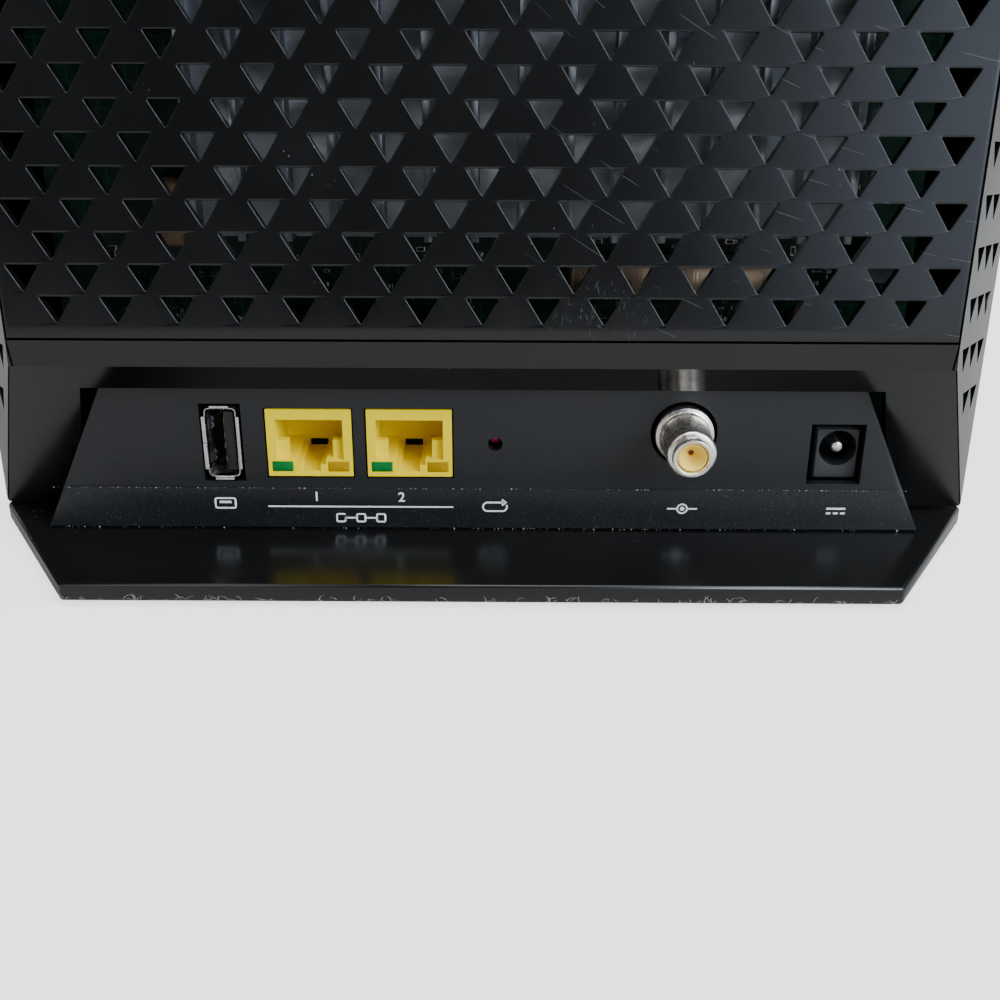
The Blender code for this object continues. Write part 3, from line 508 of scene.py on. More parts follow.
print("making finishes")
finishes = {
    "gloss": glossBlack("polishedBlack"),
    "scuffed": glossBlack("polishedBlackScuffed", scuffed=True),
    "lip": lipBlack(),
    "foot": glossBlack("footBlack", dull=0.05),
    "panel": texturedBlack(),
    "inside": plastic("frameBlack", (0.008, 0.008, 0.009), 0.6),
    "rubber": plastic("padRubber", (0.015, 0.015, 0.015), 0.85, depth=0.02),
    "board": boardGreen(),
    "chip": plastic("componentBlack", (0.010, 0.010, 0.011), 0.45),
    "socket": plastic("socketBlack", (0.018, 0.021, 0.024), 0.35),
    "aluminium": metal("sinkAluminium", (0.55, 0.58, 0.62), 0.36, (300, 300, 2500)),
    "steel": metal("tinPlate", (0.72, 0.71, 0.69), 0.27),
    "shield": metal("warmTinPlate", (0.80, 0.62, 0.44), 0.33, (5000, 300, 300)),
    "nickel": metal("nickelPlate", (0.95, 0.92, 0.86), 0.31, (1200, 1200, 1200), (0.74, 0.68, 0.60), 0.002),
    "darkSteel": metal("darkSteel", (0.20, 0.20, 0.21), 0.4),
    "can": metal("dullCan", (0.16, 0.17, 0.19), 0.5),
    # A near-black finish that paints the shade inside the latch slot.
    "slotShade": plastic("latchSlotPaintedShade", (0.003, 0.002, 0.001), 0.7, Specular_IOR_Level=0.1),
    "pin": metal("pinSilver", (0.95, 0.94, 0.90), 0.36),
    "yellow": plastic("jackYellow", (0.90, 0.69, 0.0), 0.6, 0.03, depth=0.002, Specular_IOR_Level=0.08),
    "greenLens": plastic("linkGreen", (0.0, 0.15, 0.022), 0.2, 0.2, Specular_IOR_Level=0.25),
    "amberLens": plastic("activityAmber", (0.40, 0.23, 0.0), 0.25, 0.2, Specular_IOR_Level=0.2),
    "red": plastic("resetRed", (0.62, 0.015, 0.09), 0.3),
    "cream": plastic("insulatorCream", (0.95, 0.68, 0.13), 0.4, 0.14, Specular_IOR_Level=0.3),
    "brown": plastic("contactBrown", (0.16, 0.04, 0.01), 0.5),
    "tan": plastic("woundTape", (0.50, 0.34, 0.18), 0.5, 0.3),
    "pad": plastic("thermalPad", (0.17, 0.21, 0.30), 0.8),
    "smoked": plastic("smokedWindow", (0.012, 0.012, 0.013), 0.08, depth=0.0005),
    "clear": plastic("frostedGuide", (0.7, 0.74, 0.76), 0.35),
    "white": plastic("labelWhite", (0.80, 0.84, 0.86), 0.5, 0.08),
    "gold": metal("contactGold", (0.90, 0.66, 0.28), 0.25),
    "fluff": plastic("fluff", (0.55, 0.54, 0.50), 0.9, 0.3),
}


# Back panel with its vents

backSettings = {"lean": 0.1362, "gap": 0.3, "firstRow": 7.19, "rowPitch": 5.15, "pitch": 10.0, "rows": 32,
                "width": 5.4, "height": 4.35, "corner": 0.2, "edge": 0.14, "wall": 2.2, "flare": 0.042,
                "mitre": 1.3, "rim": 0.2, "halfColumns": 64, "border": 0.6}


# 24 points round a triangle that points down. Its corners move in along the lines to the middle of
# its inner circle until an arc of the corner's radius fits, and grow adds to every arc's radius,
# which moves the whole outline outwards.
def ventOutline(grow):
    s = backSettings
    corners = np.array([[s["width"], s["height"]], [-s["width"], s["height"]], [0, -s["height"]]]) / 2
    sides = np.roll(corners, -1, 0) - corners
    lengths = np.linalg.norm(sides, axis=1)
    inner = s["width"] * s["height"] / lengths.sum()
    middle = (np.roll(lengths, -1)[:, None] * corners).sum(0) / lengths.sum()
    leaving = np.arctan2(-sides[:, 0], sides[:, 1])
    arriving = np.roll(leaving, 1)
    leaving = arriving + (leaving - arriving) % math.tau
    turn = arriving[:, None] + (leaving - arriving)[:, None] * np.linspace(0, 1, 4)
    along = (middle + (corners - middle) * (1 - s["corner"] / inner))[:, None]
    arcs = along + (s["corner"] + grow) * np.stack([np.cos(turn), np.sin(turn)], -1)
    start, stop = arcs[:, -1:], np.roll(arcs, -1, 0)[:, :1]
    share = np.linspace(0, 1, 6)[1:-1, None]
    return np.concatenate([arcs, start + (stop - start) * share], 1).reshape(-1, 2)


# A grid, u across and v up the panel. Each vent takes the place of 8 x 4 of its cells, and loops of 24
# points go from those cells' border over a chamfer, through the wall and out to the back grid.
def backPanel():
    s = backSettings
    low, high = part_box("back_grille")
    slope = math.hypot(1, s["lean"])
    up = np.array([0, s["lean"], 1]) / slope
    out = np.array([0, -1, s["lean"]]) / slope
    bottom = s["gap"] * slope
    top = bottom + (high.z - low.z) / mm * slope
    origin = np.array([0, low.y, low.z]) - up * bottom * mm
    rowPitch, cell, across = s["rowPitch"], s["pitch"] / 8, s["halfColumns"]
    firstCentre = s["firstRow"] - s["height"] / 2
    lines = firstCentre - rowPitch / 2 + np.arange(s["rows"] * 4 + 1) * rowPitch / 4
    v = np.concatenate([[bottom, bottom + s["rim"]], lines, [top - s["rim"], top]])
    u = np.concatenate([[0, 0], (np.arange(2 * across + 1) - across) * cell, [0, 0]])
    grid = np.stack(np.broadcast_arrays(u[None, :], v[:, None]), -1).copy()
    half = high.x / mm - s["flare"] * (top - v)
    inset = s["rim"]
    squeeze = np.minimum((half - s["border"] - 75) / 5, 1)[:, None]     # the last block's outer columns
    grid[:, -7:-2, 0] = 75 + (grid[:, -7:-2, 0] - 75) * squeeze
    grid[:, 2:7, 0] = -grid[:, -3:-8:-1, 0]
    grid[:, :2, 0] = -half[:, None] + [0, inset]
    grid[:, -2:, 0] = half[:, None] - [inset, 0]
    depth = np.zeros(grid.shape[:2])
    depth[[0, -1], :] = inset
    depth[:, [0, -1]] = inset
    back = grid.copy()
    limit = (half - s["mitre"])[:, None]
    back[:, :, 0] = np.clip(back[:, :, 0], -limit, limit)

    def place(flat, deep):
        deep = np.broadcast_to(np.asarray(deep, float), flat.shape[:-1])[..., None]
        return origin + (flat[..., :1] * [1, 0, 0] + flat[..., 1:] * up - deep * out) * mm

    rows, columns = grid.shape[:2]
    number = np.arange(rows * columns).reshape(rows, columns)
    quads = gridQuads(rows, columns).reshape(rows - 1, columns - 1, 4)
    row = np.repeat(np.arange(s["rows"]), 16)
    hole = np.tile(np.arange(16), s["rows"])
    short = row % 2 == 0                       # rows of 15 and of 16 holes in turn
    row, hole, short = (values[~(short & (hole == 15))] for values in (row, hole, short))
    sideways = (hole - np.where(short, 7.0, 7.5)) * s["pitch"]
    firstRow = 2 + row * 4
    firstColumn = 2 + across + np.round((sideways - s["pitch"] / 2) / cell).astype(int)
    keep = np.ones((rows - 1, columns - 1), bool)
    for downward in range(4):
        for sideward in range(8):
            keep[firstRow + downward, firstColumn + sideward] = False
    ringRow = np.concatenate([np.zeros(8), np.arange(4), np.full(8, 4), np.arange(4, 0, -1)]).astype(int)
    ringColumn = np.concatenate([np.arange(8), np.full(4, 8), np.arange(8, 0, -1), np.zeros(4)]).astype(int)
    rings = number[firstRow[:, None] + ringRow, firstColumn[:, None] + ringColumn]
    centres = np.stack([sideways, firstCentre + row * rowPitch], -1)
    outline = ventOutline(0)
    lift = np.array([0, 0.15 * s["height"]])     # turns are measured round a point above the middle
    border = grid.reshape(-1, 2)[rings[7]] - centres[7] - lift
    rings = rings[:, np.argsort(np.arctan2(border[:, 1], border[:, 0]))]
    order = np.argsort(np.arctan2(outline[:, 1] - lift[1], outline[:, 0]))
    edge, wall = s["edge"], s["wall"]
    layers = [(edge, 0.0), (edge * 0.3, edge * 0.3), (0, edge), (0, wall)]
    loops = [place(centres[:, None] + ventOutline(grow)[order], deep) for grow, deep in layers]
    size = len(centres) * 24
    numbers = [2 * rows * columns + k * size + np.arange(size).reshape(-1, 24) for k in range(len(layers))]
    chain = [rings] + numbers + [rings + rows * columns]
    sets = [quads[keep], quads[keep][:, ::-1] + rows * columns]
    for first, second in zip(chain, chain[1:]):
        walls = [first, np.roll(first, -1, 1), np.roll(second, -1, 1), second]
        sets.append(np.stack(walls, -1).reshape(-1, 4))
    rim = np.concatenate([number[0, :-1], number[:-1, -1], number[-1, :0:-1], number[:0:-1, 0]])
    beside = np.roll(rim, -1)
    sets.append(np.stack([rim, beside, beside + rows * columns, rim + rows * columns], -1))
    surfaces = [place(grid, depth), place(back, wall)] + loops
    points = np.concatenate([surface.reshape(-1, 3) for surface in surfaces])
    mesh = tidyMesh(meshFromArrays("ventedBack", points, sets), 60)
    evenNormals(addPiece("ventedBack", mesh, finishes["scuffed"], ["back_grille"]))


print("shaping the back panel")
backPanel()

print("softening the covers")
softenedCopy("rear_cover", finishes["gloss"], 0.22)
softenedCopy("front_cover", finishes["gloss"], 0.35)
softenedCopy("lip_frame", finishes["lip"], 0.25)
softenedCopy("port_panel", finishes["panel"], 0.22)
softenedCopy("base_plate", finishes["foot"], 0.3)
softenedCopy("status_window", finishes["smoked"], 0.2)


# Sockets

coaxSettings = {"flange": 5.15, "barrel": 4.25, "collar": 3.38, "bore": 2.62, "steps": 72}


# A post turned from (radius, height): flange, barrel, a shoulder and a collar with a rolled lip, and
# inside it a funnel that ends in a small hole.
def coaxPost():
    s = coaxSettings
    barrel, collar, flange, bore, steps = (s[key] for key in ("barrel", "collar", "flange", "bore", "steps"))
    low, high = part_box("coax_body")
    x, z = (low.x + high.x) / 2, (low.z + high.z) / 2
    end = (high.y - low.y) / mm
    profile = [(0, end - 14), (bore, end - 14), (bore, end - 0.35), (bore + 0.12, end - 0.1),
               (bore + 0.25, end), (collar - 0.22, end), (collar - 0.07, end - 0.07), (collar, end - 0.25),
               (collar, end - 1.3), (collar + 0.05, end - 1.38), (barrel - 0.42, end - 1.5),
               (barrel - 0.15, end - 1.66), (barrel - 0.03, end - 1.95), (barrel, end - 2.3),
               (barrel - 0.03, end - 4),
               (barrel - 0.02, end - 9.6), (barrel + 0.06, end - 10.2), (barrel + 0.3, end - 10.45),
               (flange - 0.3, end - 10.5), (flange - 0.08, end - 10.6), (flange, end - 10.85),
               (flange, end - 12.0), (flange - 0.2, end - 12.2), (barrel, end - 12.2),
               (barrel, 0.1), (barrel - 0.1, 0), (0, 0)]
    mesh = turned("coaxPost", profile, (x, high.y, z), steps, 40)
    addPiece("coaxPost", mesh, finishes["nickel"], ["coax_body"])
    low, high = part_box("coax_dielectric")
    end = (high.y - low.y) / mm
    funnel = [(0, end - 5), (0.5, end - 5), (0.52, end - 2.4), (0.66, end - 2.2), (1.25, end - 1.7),
              (2.0, end - 0.3), (2.16, end - 0.06), (2.3, end), (2.42, end - 0.05), (2.5, end - 0.25),
              (2.5, 0), (0, 0)]
    mesh = turned("coaxInsulator", funnel, (x, high.y, z), steps, 50)
    addPiece("coaxInsulator", mesh, finishes["cream"], ["coax_dielectric"])
    contact = turned("coaxContact", [(0, 0), (0.49, 0), (0.49, 1.7), (0.2, 1.9), (0, 1.9)],
                     (x, low.y + 4.5 * mm, z), 24, 40)
    addPiece("coaxContact", contact, finishes["brown"])


dcSettings = {"hole": 3.3, "depth": 7.0, "chamfer": 0.4, "arcSteps": 15}


# Loops go from the block's outline over its chamfer to the hole's circle and down into it.
def dcSocket():
    s = dcSettings
    low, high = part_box("dc_jack")
    pinLow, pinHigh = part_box("dc_pin")
    hole = np.array([(pinLow.x + pinHigh.x) / 2, (pinLow.z + pinHigh.z) / 2])
    middle = np.array([(low.x + high.x) / 2, (low.z + high.z) / 2])
    size = np.array([high.x - low.x, high.z - low.z]) / mm
    circle = roundedLoop(2, 2, 1, s["arcSteps"])

    def outer(inset, y):
        loop = roundedLoop(*(size - 2 * inset), 0.35, s["arcSteps"]) * mm + middle
        return np.column_stack([loop[:, 0], np.full(len(loop), y), loop[:, 1]])

    def ring(radius, y):
        loop = circle * radius * mm + hole
        return np.column_stack([loop[:, 0], np.full(len(loop), y), loop[:, 1]])

    face, radius = low.y, s["hole"]
    loops = [outer(0, high.y), outer(0, face + s["chamfer"] * mm), outer(s["chamfer"], face),
             ring(radius + 0.12, face), ring(radius + 0.03, face + 0.03 * mm), ring(radius, face + 0.15 * mm),
             ring(radius, face + s["depth"] * mm), ring(1.4, face + (s["depth"] + 1.6) * mm)]
    addPiece("dcSocket", loopStack("dcSocket", loops, 30), finishes["socket"], ["dc_jack"])
    length = (pinHigh.y - pinLow.y) / mm
    profile = [(0, 0), (1, 0), (1, length - 0.3), (0.95, length - 0.12), (0.8, length), (0, length)]
    mesh = turned("dcPin", profile, (hole[0], pinHigh.y, hole[1]), 32, 40)
    addPiece("dcPin", mesh, finishes["pin"], ["dc_pin"])


jackSettings = {"opening": (5.9, 3.1, 10.65), "channel": (1.75, 0.95), "step": (2.7, 2.2), "depth": 12.0,
                "shoulder": (3.9, 6.4, 1.3, 2.9), "edge": 0.14}


# A yellow block cut on a box lattice: the plug's opening, a stepped channel for its latch, shoulders
# at both sides, two pockets for the lenses and a slot in the channel's end, where a near-black box paints the
# shade.
def ethernetJack(number):
    s = jackSettings
    low, high = (np.array(corner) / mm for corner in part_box(f"ethernet_jack_{number}"))
    x, bottom, face = (low[0] + high[0]) / 2, low[2], low[1]
    half, floor, ceiling = s["opening"]
    deep = face + s["depth"]
    shoulder, shoulderTop, near, far = s["shoulder"]
    rows = [(True, low, high),
            (False, (x - half, face, bottom + floor), (x + half, deep, bottom + ceiling)),
            (False, (x - s["step"][0], face, bottom + s["step"][1]),
             (x + s["step"][0], deep, bottom + floor)),
            (False, (x - s["channel"][0], face, bottom + s["channel"][1]),
             (x + s["channel"][0], deep, bottom + s["step"][1])),
            (False, (x - s["channel"][0] + 0.1, deep, bottom + s["step"][1] - 1.0),
             (x + s["channel"][0] - 0.1, deep + 1.2, bottom + s["step"][1] + 0.3))]
    for side in (-1, 1):
        inner, outer = sorted((x + side * shoulder, x + side * half))
        rows.append((True, (inner, face + near, bottom + floor), (outer, face + far, bottom + shoulderTop)))
    for lens in ("link_lens", "activity_lens"):
        lensLow, lensHigh = (np.array(corner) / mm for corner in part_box(f"{lens}_{number}"))
        rows.append((False, (lensLow[0], face, lensLow[2]), (lensHigh[0], lensHigh[1], lensHigh[2])))
    mesh = tidyMesh(meshFromArrays(f"ethernetJack{number}", *latticeBody(rows)), 30)
    jack = addPiece(f"ethernetJack{number}", mesh, finishes["yellow"], [f"ethernet_jack_{number}"])
    roundEdges(jack, s["edge"])
    step = bottom + s["step"][1]
    # A near-black box fills the slot's pocket as painted shade.
    insert = [(True, (x - 1.62, deep + 0.2, step - 0.98), (x + 1.62, deep + 1.1, step + 0.28))]
    mesh = tidyMesh(meshFromArrays(f"latchSlot{number}", *latticeBody(insert)), 30)
    addPiece(f"latchSlot{number}", mesh, finishes["slotShade"])
    for lens, finish, slot in (("link_lens", "greenLens", "green_lens"),
                               ("activity_lens", "amberLens", "amber_lens")):
        low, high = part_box(f"{lens}_{number}")
        turnedLow, turnedHigh = (low.x, low.z, -high.y), (high.x, high.z, -low.y + 0.12 * mm)
        loops = roundedBlock(turnedLow, turnedHigh, 0.28 * mm)[..., [0, 2, 1]] * [1, -1, 1]
        name = lens.replace("_l", "L") + str(number)
        addPiece(name, loopStack(name, loops, 70), finishes[finish], [f"{lens}_{number}"])


usbSettings = {"opening": (5.12, 12.5), "sheet": 0.25, "corner": 0.6, "curl": 0.4, "flat": 0.3,
               "flapEnds": 3.3, "flapSides": 9.8, "split": 0.12, "springs": (-3.1, 3.1), "springWidth": 1.7}


# A sleeve of thin sheet: rounded rectangles from the back along the outside to the mouth and back
# inside. Each flap is a ribbon that follows the wall and then curls outwards a quarter turn.
def usbSocket():
    s = usbSettings
    low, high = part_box("usb_shell")
    x, z = (low.x + high.x) / 2 / mm, (low.z + high.z) / 2 / mm
    mouth, back = low.y / mm, high.y / mm
    width, height = s["opening"]
    sheet, corner, curl = s["sheet"], s["corner"], s["curl"]

    def loopAt(grow, y):
        loop = roundedLoop(width + 2 * grow, height + 2 * grow, corner + grow, 6)
        return np.column_stack([loop[:, 0] + x, np.full(len(loop), y), loop[:, 1] + z]) * mm

    rim = mouth + 0.32
    loops = [loopAt(sheet, back), loopAt(sheet, rim + 0.08), loopAt(sheet * 0.75, rim),
             loopAt(sheet * 0.25, rim), loopAt(0, rim + 0.08), loopAt(0, back - 1.2)]
    parts = [stackArrays(np.array(loops))]
    turn = np.linspace(0, math.pi / 2, 7)
    along = np.concatenate([[1.6, 0.9], curl * (1 - np.sin(turn)) + 0.01, [0.01]])
    outwards = np.concatenate([[0.0, 0.0], curl * (1 - np.cos(turn)), [curl + s["flat"]]])
    turns = np.concatenate([[0.0, 0.0], turn, turn[-1:]])
    for side, flapWidth, centre in ((0, s["flapEnds"], 0), (2, s["flapEnds"], 0), (3, s["flapSides"], 0),
                                    (1, s["flapSides"] / 2, s["flapSides"] / 4 + s["split"] / 2),
                                    (1, s["flapSides"] / 2, -s["flapSides"] / 4 - s["split"] / 2)):
        outward = [(0, 0, 1), (-1, 0, 0), (0, 0, -1), (1, 0, 0)][side]
        sideways = (1, 0, 0) if side in (0, 2) else (0, 0, 1)
        reach = height / 2 if side in (0, 2) else width / 2
        start = np.array([x, mouth, z]) + np.array(outward) * reach + np.array(sideways) * centre
        path = start + outwards[:, None] * outward + along[:, None] * [0, 1, 0]
        lift = np.cos(turns)[:, None] * outward + np.sin(turns)[:, None] * [0, 1, 0]
        parts.append(ribbon(path, flapWidth, sideways, lift, sheet))
    points, sets = joinArrays(parts)
    mesh = tidyMesh(meshFromArrays("usbShell", points, sets), 40)
    addPiece("usbShell", mesh, finishes["steel"], ["usb_shell"])
    fingers = []
    share = np.linspace(0, 1, 9)
    for rise in s["springs"]:
        bulge = 0.75 * np.sin(share * math.pi) ** 2 * np.where(share > 0.5, 1.0, 1.15)
        path = np.column_stack([x - width / 2 + 0.05 + bulge, mouth + 1.2 + share * 7, np.full(9, z + rise)])
        fingers.append(ribbon(path, s["springWidth"], (0, 0, 1), (1, 0, 0), 0.2))
        hook = np.array([(0.5, -1.1), (0.9, -0.5), (0.3, 0.1), (0.9, 0.6), (0.45, 1.2)])
        path = np.column_stack([x - width / 2 + hook[:, 0], np.full(5, mouth + 2.6), z + rise + hook[:, 1]])
        fingers.append(ribbon(path, 0.22, (1, 0, 0), (0, -1, 0), 0.15))
    points, sets = joinArrays(fingers)
    mesh = tidyMesh(meshFromArrays("usbSprings", points, sets), 40)
    addPiece("usbSprings", mesh, finishes["darkSteel"])
    softenedCopy("usb_tongue", finishes["chip"], 0.12)
    rises = z + np.array([-3.5, -1.0, 1.0, 3.5])
    left = x + 0.35
    contacts = [ribbon([(left, mouth + 1.6, rise), (left, mouth + 9, rise)], 1.0, (0, 0, 1), (-1, 0, 0), 0.1)
                for rise in rises]
    points, sets = joinArrays(contacts)
    mesh = tidyMesh(meshFromArrays("usbContacts", points, sets), 40)
    addPiece("usbContacts", mesh, finishes["gold"])


print("turning and folding the sockets")
coaxPost()
dcSocket()
usbSocket()
for jackNumber in (1, 2):
    ethernetJack(jackNumber)


# Buttons

buttonSettings = {
    "reset_button": {"body": "reset_key", "finish": "red", "slot": "red_button", "roll": 0.3},
    "wifi_button": {"body": "wifi_key", "finish": "gloss", "slot": "button_black", "roll": 0.12},
    "wps_button": {"body": "wps_key", "finish": "gloss", "slot": "button_black", "roll": 0.12},
}


# Each button is its own node with the edges rolled by its roll, in mm.
def makeButtons():
    for node, s in buttonSettings.items():
        softenedCopy(node, finishes[s["finish"]], s["roll"], 3, s["body"])


print("making the buttons")
makeButtons()


# Labels: two digits, a line and plain pictures of what each socket is for

labelSettings = {"face": -20.4, "thickness": 0.03, "stroke": 0.3, "digitSize": 2.55,
                 "digits": (("1", -29.8, 10.0), ("2", -14.6, 9.95)),
                 "usb": (-46.2, 9.5), "underline": (-38.6, -5.4, 8.9), "network": (-22.0, 6.7),
                 "reset": (2.1, 9.0), "cable": (35.7, 8.8), "direct": (63.3, 8.5)}


# A closed or open stroke on the strip: each point's loop is as wide as the stroke, square to the
# path's direction there (the mean of its two neighbours' directions).
def stroke(points, width=None, closed=False):
    s = labelSettings
    flat = np.array(points, float)
    if closed:
        flat = np.concatenate([flat, flat[:1], flat[1:2]])
    direction = np.gradient(flat, axis=0)
    if closed:
        direction[0] = direction[-2] = flat[1] - flat[-3]
        flat, direction = flat[:-1], direction[:-1]
    direction /= np.linalg.norm(direction, axis=1)[:, None]
    side = np.column_stack([direction[:, 1], np.zeros(len(flat)), -direction[:, 0]])
    path = np.column_stack([flat[:, 0], np.full(len(flat), s["face"]), flat[:, 1]])
    return ribbon(path, width or s["stroke"], side, (0, -1, 0), s["thickness"])


def circlePoints(centre, radius, start=0, stop=360, steps=24, stretch=0.0):
    turn = np.radians(np.linspace(start, stop, steps, endpoint=(stop - start) % 360 != 0))
    points = np.stack([np.cos(turn), np.sin(turn)], -1) * radius + np.array(centre)
    points[:, 0] += stretch * np.sign(np.round(np.cos(turn), 6))
    return points


def makeLabels():
    s = labelSettings
    strokes = [stroke([(s["underline"][0], s["underline"][2]), (s["underline"][1], s["underline"][2])], 0.27)]
    x, z = s["usb"]
    outline = roundedLoop(3.6, 1.9, 0.3, 3) + [x, z]
    strokes.append(stroke(outline, closed=True))
    strokes.append(stroke([(x - 1.05, z + 0.2), (x + 1.05, z + 0.2)], 0.42))
    x, z = s["network"]
    for offset in (-3.6, 0.0, 3.6):
        square = roundedLoop(1.5, 1.5, 0.2, 2) + [x + offset, z]
        strokes.append(stroke(square, 0.3, closed=True))
    strokes += [stroke([(x + start, z), (x + start + 1.9, z)], 0.3) for start in (-2.75, 0.85)]
    x, z = s["reset"]
    strokes.append(stroke(circlePoints((x, z), 0.85, 80, 385, 26, 1.3)))
    strokes.append(stroke([(x + 1.25, z + 1.4), (x + 2.0, z + 0.86), (x + 1.25, z + 0.3)], 0.32))
    x, z = s["cable"]
    strokes.append(stroke(circlePoints((x, z), 0.88), closed=True))
    strokes.append(stroke(circlePoints((x, z), 0.22), 0.4, closed=True))
    strokes += [stroke([(x + 1.0 * side, z), (x + 2.7 * side, z)]) for side in (-1, 1)]
    x, z = s["direct"]
    strokes.append(stroke([(x - 1.7, z + 0.45), (x + 1.7, z + 0.45)], 0.36))
    strokes += [stroke([(x + offset - 0.42, z - 0.45), (x + offset + 0.42, z - 0.45)], 0.36)
                for offset in (-1.28, 0, 1.28)]
    points, sets = joinArrays(strokes)
    mesh = tidyMesh(meshFromArrays("labelPictures", points, sets), 40)
    addPiece("labelPictures", mesh, finishes["white"])
    for digit, x, z in s["digits"]:
        curve = bpy.data.curves.new("digit" + digit, "FONT")
        curve.body = digit
        curve.size = s["digitSize"] * mm
        curve.extrude = s["thickness"] * mm
        curve.offset = 0.03 * mm
        curve.align_x = "CENTER"
        holder = bpy.data.objects.new("digitCurve", curve)
        bpy.context.collection.objects.link(holder)
        bpy.context.view_layer.update()
        evaluated = holder.evaluated_get(bpy.context.evaluated_depsgraph_get())
        mesh = bpy.data.meshes.new_from_object(evaluated)
        bpy.data.objects.remove(holder)
        upright = Matrix.Rotation(math.radians(90), 4, "X")
        mesh.transform(Matrix.Translation((x * mm, s["face"] * mm, z * mm)) @ upright)
        mesh.name = "label" + digit
        addPiece("label" + digit, tidyMesh(mesh, 40), finishes["white"])


print("printing the labels")
makeLabels()


# Inside

boardSettings = {"face": -4.9, "parts": 210, "marks": 60, "area": ((-73, 73), (31, 54)),
                 "keepOut": ((15, 51, 44.5, 52.5), (-35, -9, 32, 43), (-57.5, -49, 52, 66), (52, 62, 33, 43),
                             (63, 73, 47, 57), (0, 10, 33, 43), (-50, 63, 54, 106), (-52, -39, 8, 34),
                             (66, 76, 36, 44), (-76, -66, 36, 44)),
                 "groups": ((-46, 38.4), (-42.5, 38.0), (-39.0, 39.0), (-36.5, 37.0), (-29, 44.4),
                            (-12, 38.6), (-18, 44.2), (-11, 45.2), (-12.5, 47.8), (-3.5, 42.5),
                            (-2, 46.2), (-57, 38.6), (12, 37.5), (43, 40.5), (52, 46.2), (60, 47.2),
                            (58, 60.4), (66, 62.0), (69, 66.8), (-62, 46.4))}


# Boxes that stand on the board: each is a stack of two four-point loops, low and high.
def boardBoxes(centres, sizes, heights):
    face = boardSettings["face"]
    corners = np.array([[-1, -1], [1, -1], [1, 1], [-1, 1]])
    flat = centres[:, None] + corners * sizes[:, None] / 2
    levels = []
    for level in (0.0, 1.0):
        y = np.broadcast_to(face + 0.05 - level * (heights[:, None] + 0.05), flat.shape[:2])
        levels.append(np.stack([flat[..., 0], y, flat[..., 1]], -1))
    return manyStacks(np.stack(levels, 1) * mm)


def freePlaces(random, count):
    s = boardSettings
    (left, right), (below, above) = s["area"]
    places = random.uniform((left, below), (right, above), (count * 4, 2))
    places = np.round(places / 0.8) * 0.8
    for x0, x1, z0, z1 in s["keepOut"]:
        inside = (places[:, 0] > x0) & (places[:, 0] < x1) & (places[:, 1] > z0) & (places[:, 1] < z1)
        places = places[~inside]
    return np.unique(places, axis=0)[random.permutation(len(np.unique(places, axis=0)))][:count]


# Small boxes for the surface parts, pale boxes a little lower and wider for their ends, and dashes
# for the printed marks.
def dressBoard():
    s = boardSettings
    random = np.random.default_rng(randomSeed)
    places = freePlaces(random, s["parts"])
    upright = random.random(len(places)) < 0.5
    length = random.choice([1.0, 1.6, 2.0], len(places), p=[0.55, 0.35, 0.10])
    narrow = length * 0.5
    sizes = np.where(upright[:, None], np.stack([narrow, length], -1), np.stack([length, narrow], -1))
    mesh = tidyMesh(meshFromArrays("smallParts", *boardBoxes(places, sizes * 0.7, length * 0.35)))
    addPiece("smallParts", mesh, finishes["chip"])
    mesh = tidyMesh(meshFromArrays("smallPartEnds", *boardBoxes(places, sizes, length * 0.32)))
    addPiece("smallPartEnds", mesh, finishes["steel"])
    groups = np.array(s["groups"])
    group = random.integers(0, len(groups), s["marks"] * 4)
    across = random.integers(-3, 4, len(group)) * 0.52
    offset = np.stack([across, random.integers(-1, 2, len(group)) * 1.05], -1)
    centres = np.unique(np.round(groups[group] + offset, 3), axis=0)
    width = random.choice([0.18, 0.36], len(centres))
    sizes = np.stack([width, random.choice([0.3, 0.75], len(centres))], -1)
    mesh = tidyMesh(meshFromArrays("boardMarks", *boardBoxes(centres, sizes, np.full(len(centres), 0.02))))
    addPiece("boardMarks", mesh, finishes["white"])


def roundedCoil():
    low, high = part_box("filter_coil")
    loops = roundedBlock(low, high, 1.4 * mm, 5)
    addPiece("woundCoil", loopStack("woundCoil", loops, 60), finishes["tan"], ["filter_coil"])


print("dressing the board")
dressBoard()
roundedCoil()
softenedCopy("heat_sink", finishes["aluminium"], 0.12)
softenedCopy("tuner_shield", finishes["shield"], 0.25)
insideFinishes = {
    "inner_frame": "inside", "main_board": "board", "front_board": "board", "antenna_left": "board",
    "antenna_right": "board", "main_chip": "chip", "tuner_chip": "chip", "radio_shield_1": "steel",
    "radio_shield_2": "steel", "ethernet_transformer": "chip", "thermal_pad_1": "pad", "thermal_pad_2": "pad",
    "reset_switch": "chip", "wifi_switch": "chip", "wps_switch": "chip", "light_guide": "clear"}
for node, finish in insideFinishes.items():
    paint(node, finishes[finish])
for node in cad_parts:
    for start, finish in (("capacitor", "can"), ("board_screw", "darkSteel"), ("base_screw", "steel"),
                          ("rubber_foot", "rubber"), ("antenna_lead", "chip")):
        if node.startswith(start):
            paint(node, finishes[finish])


# Dust and fluff

dustSettings = {"lines": ((-77, 76, -20.45, 12.45, 260), (-78, 78, -20.5, 4.62, 150)), "fibres": 130,
                "fibreSpan": (-78, 78), "fibreSize": (0.9, 2.6), "fibreRadius": 0.035}


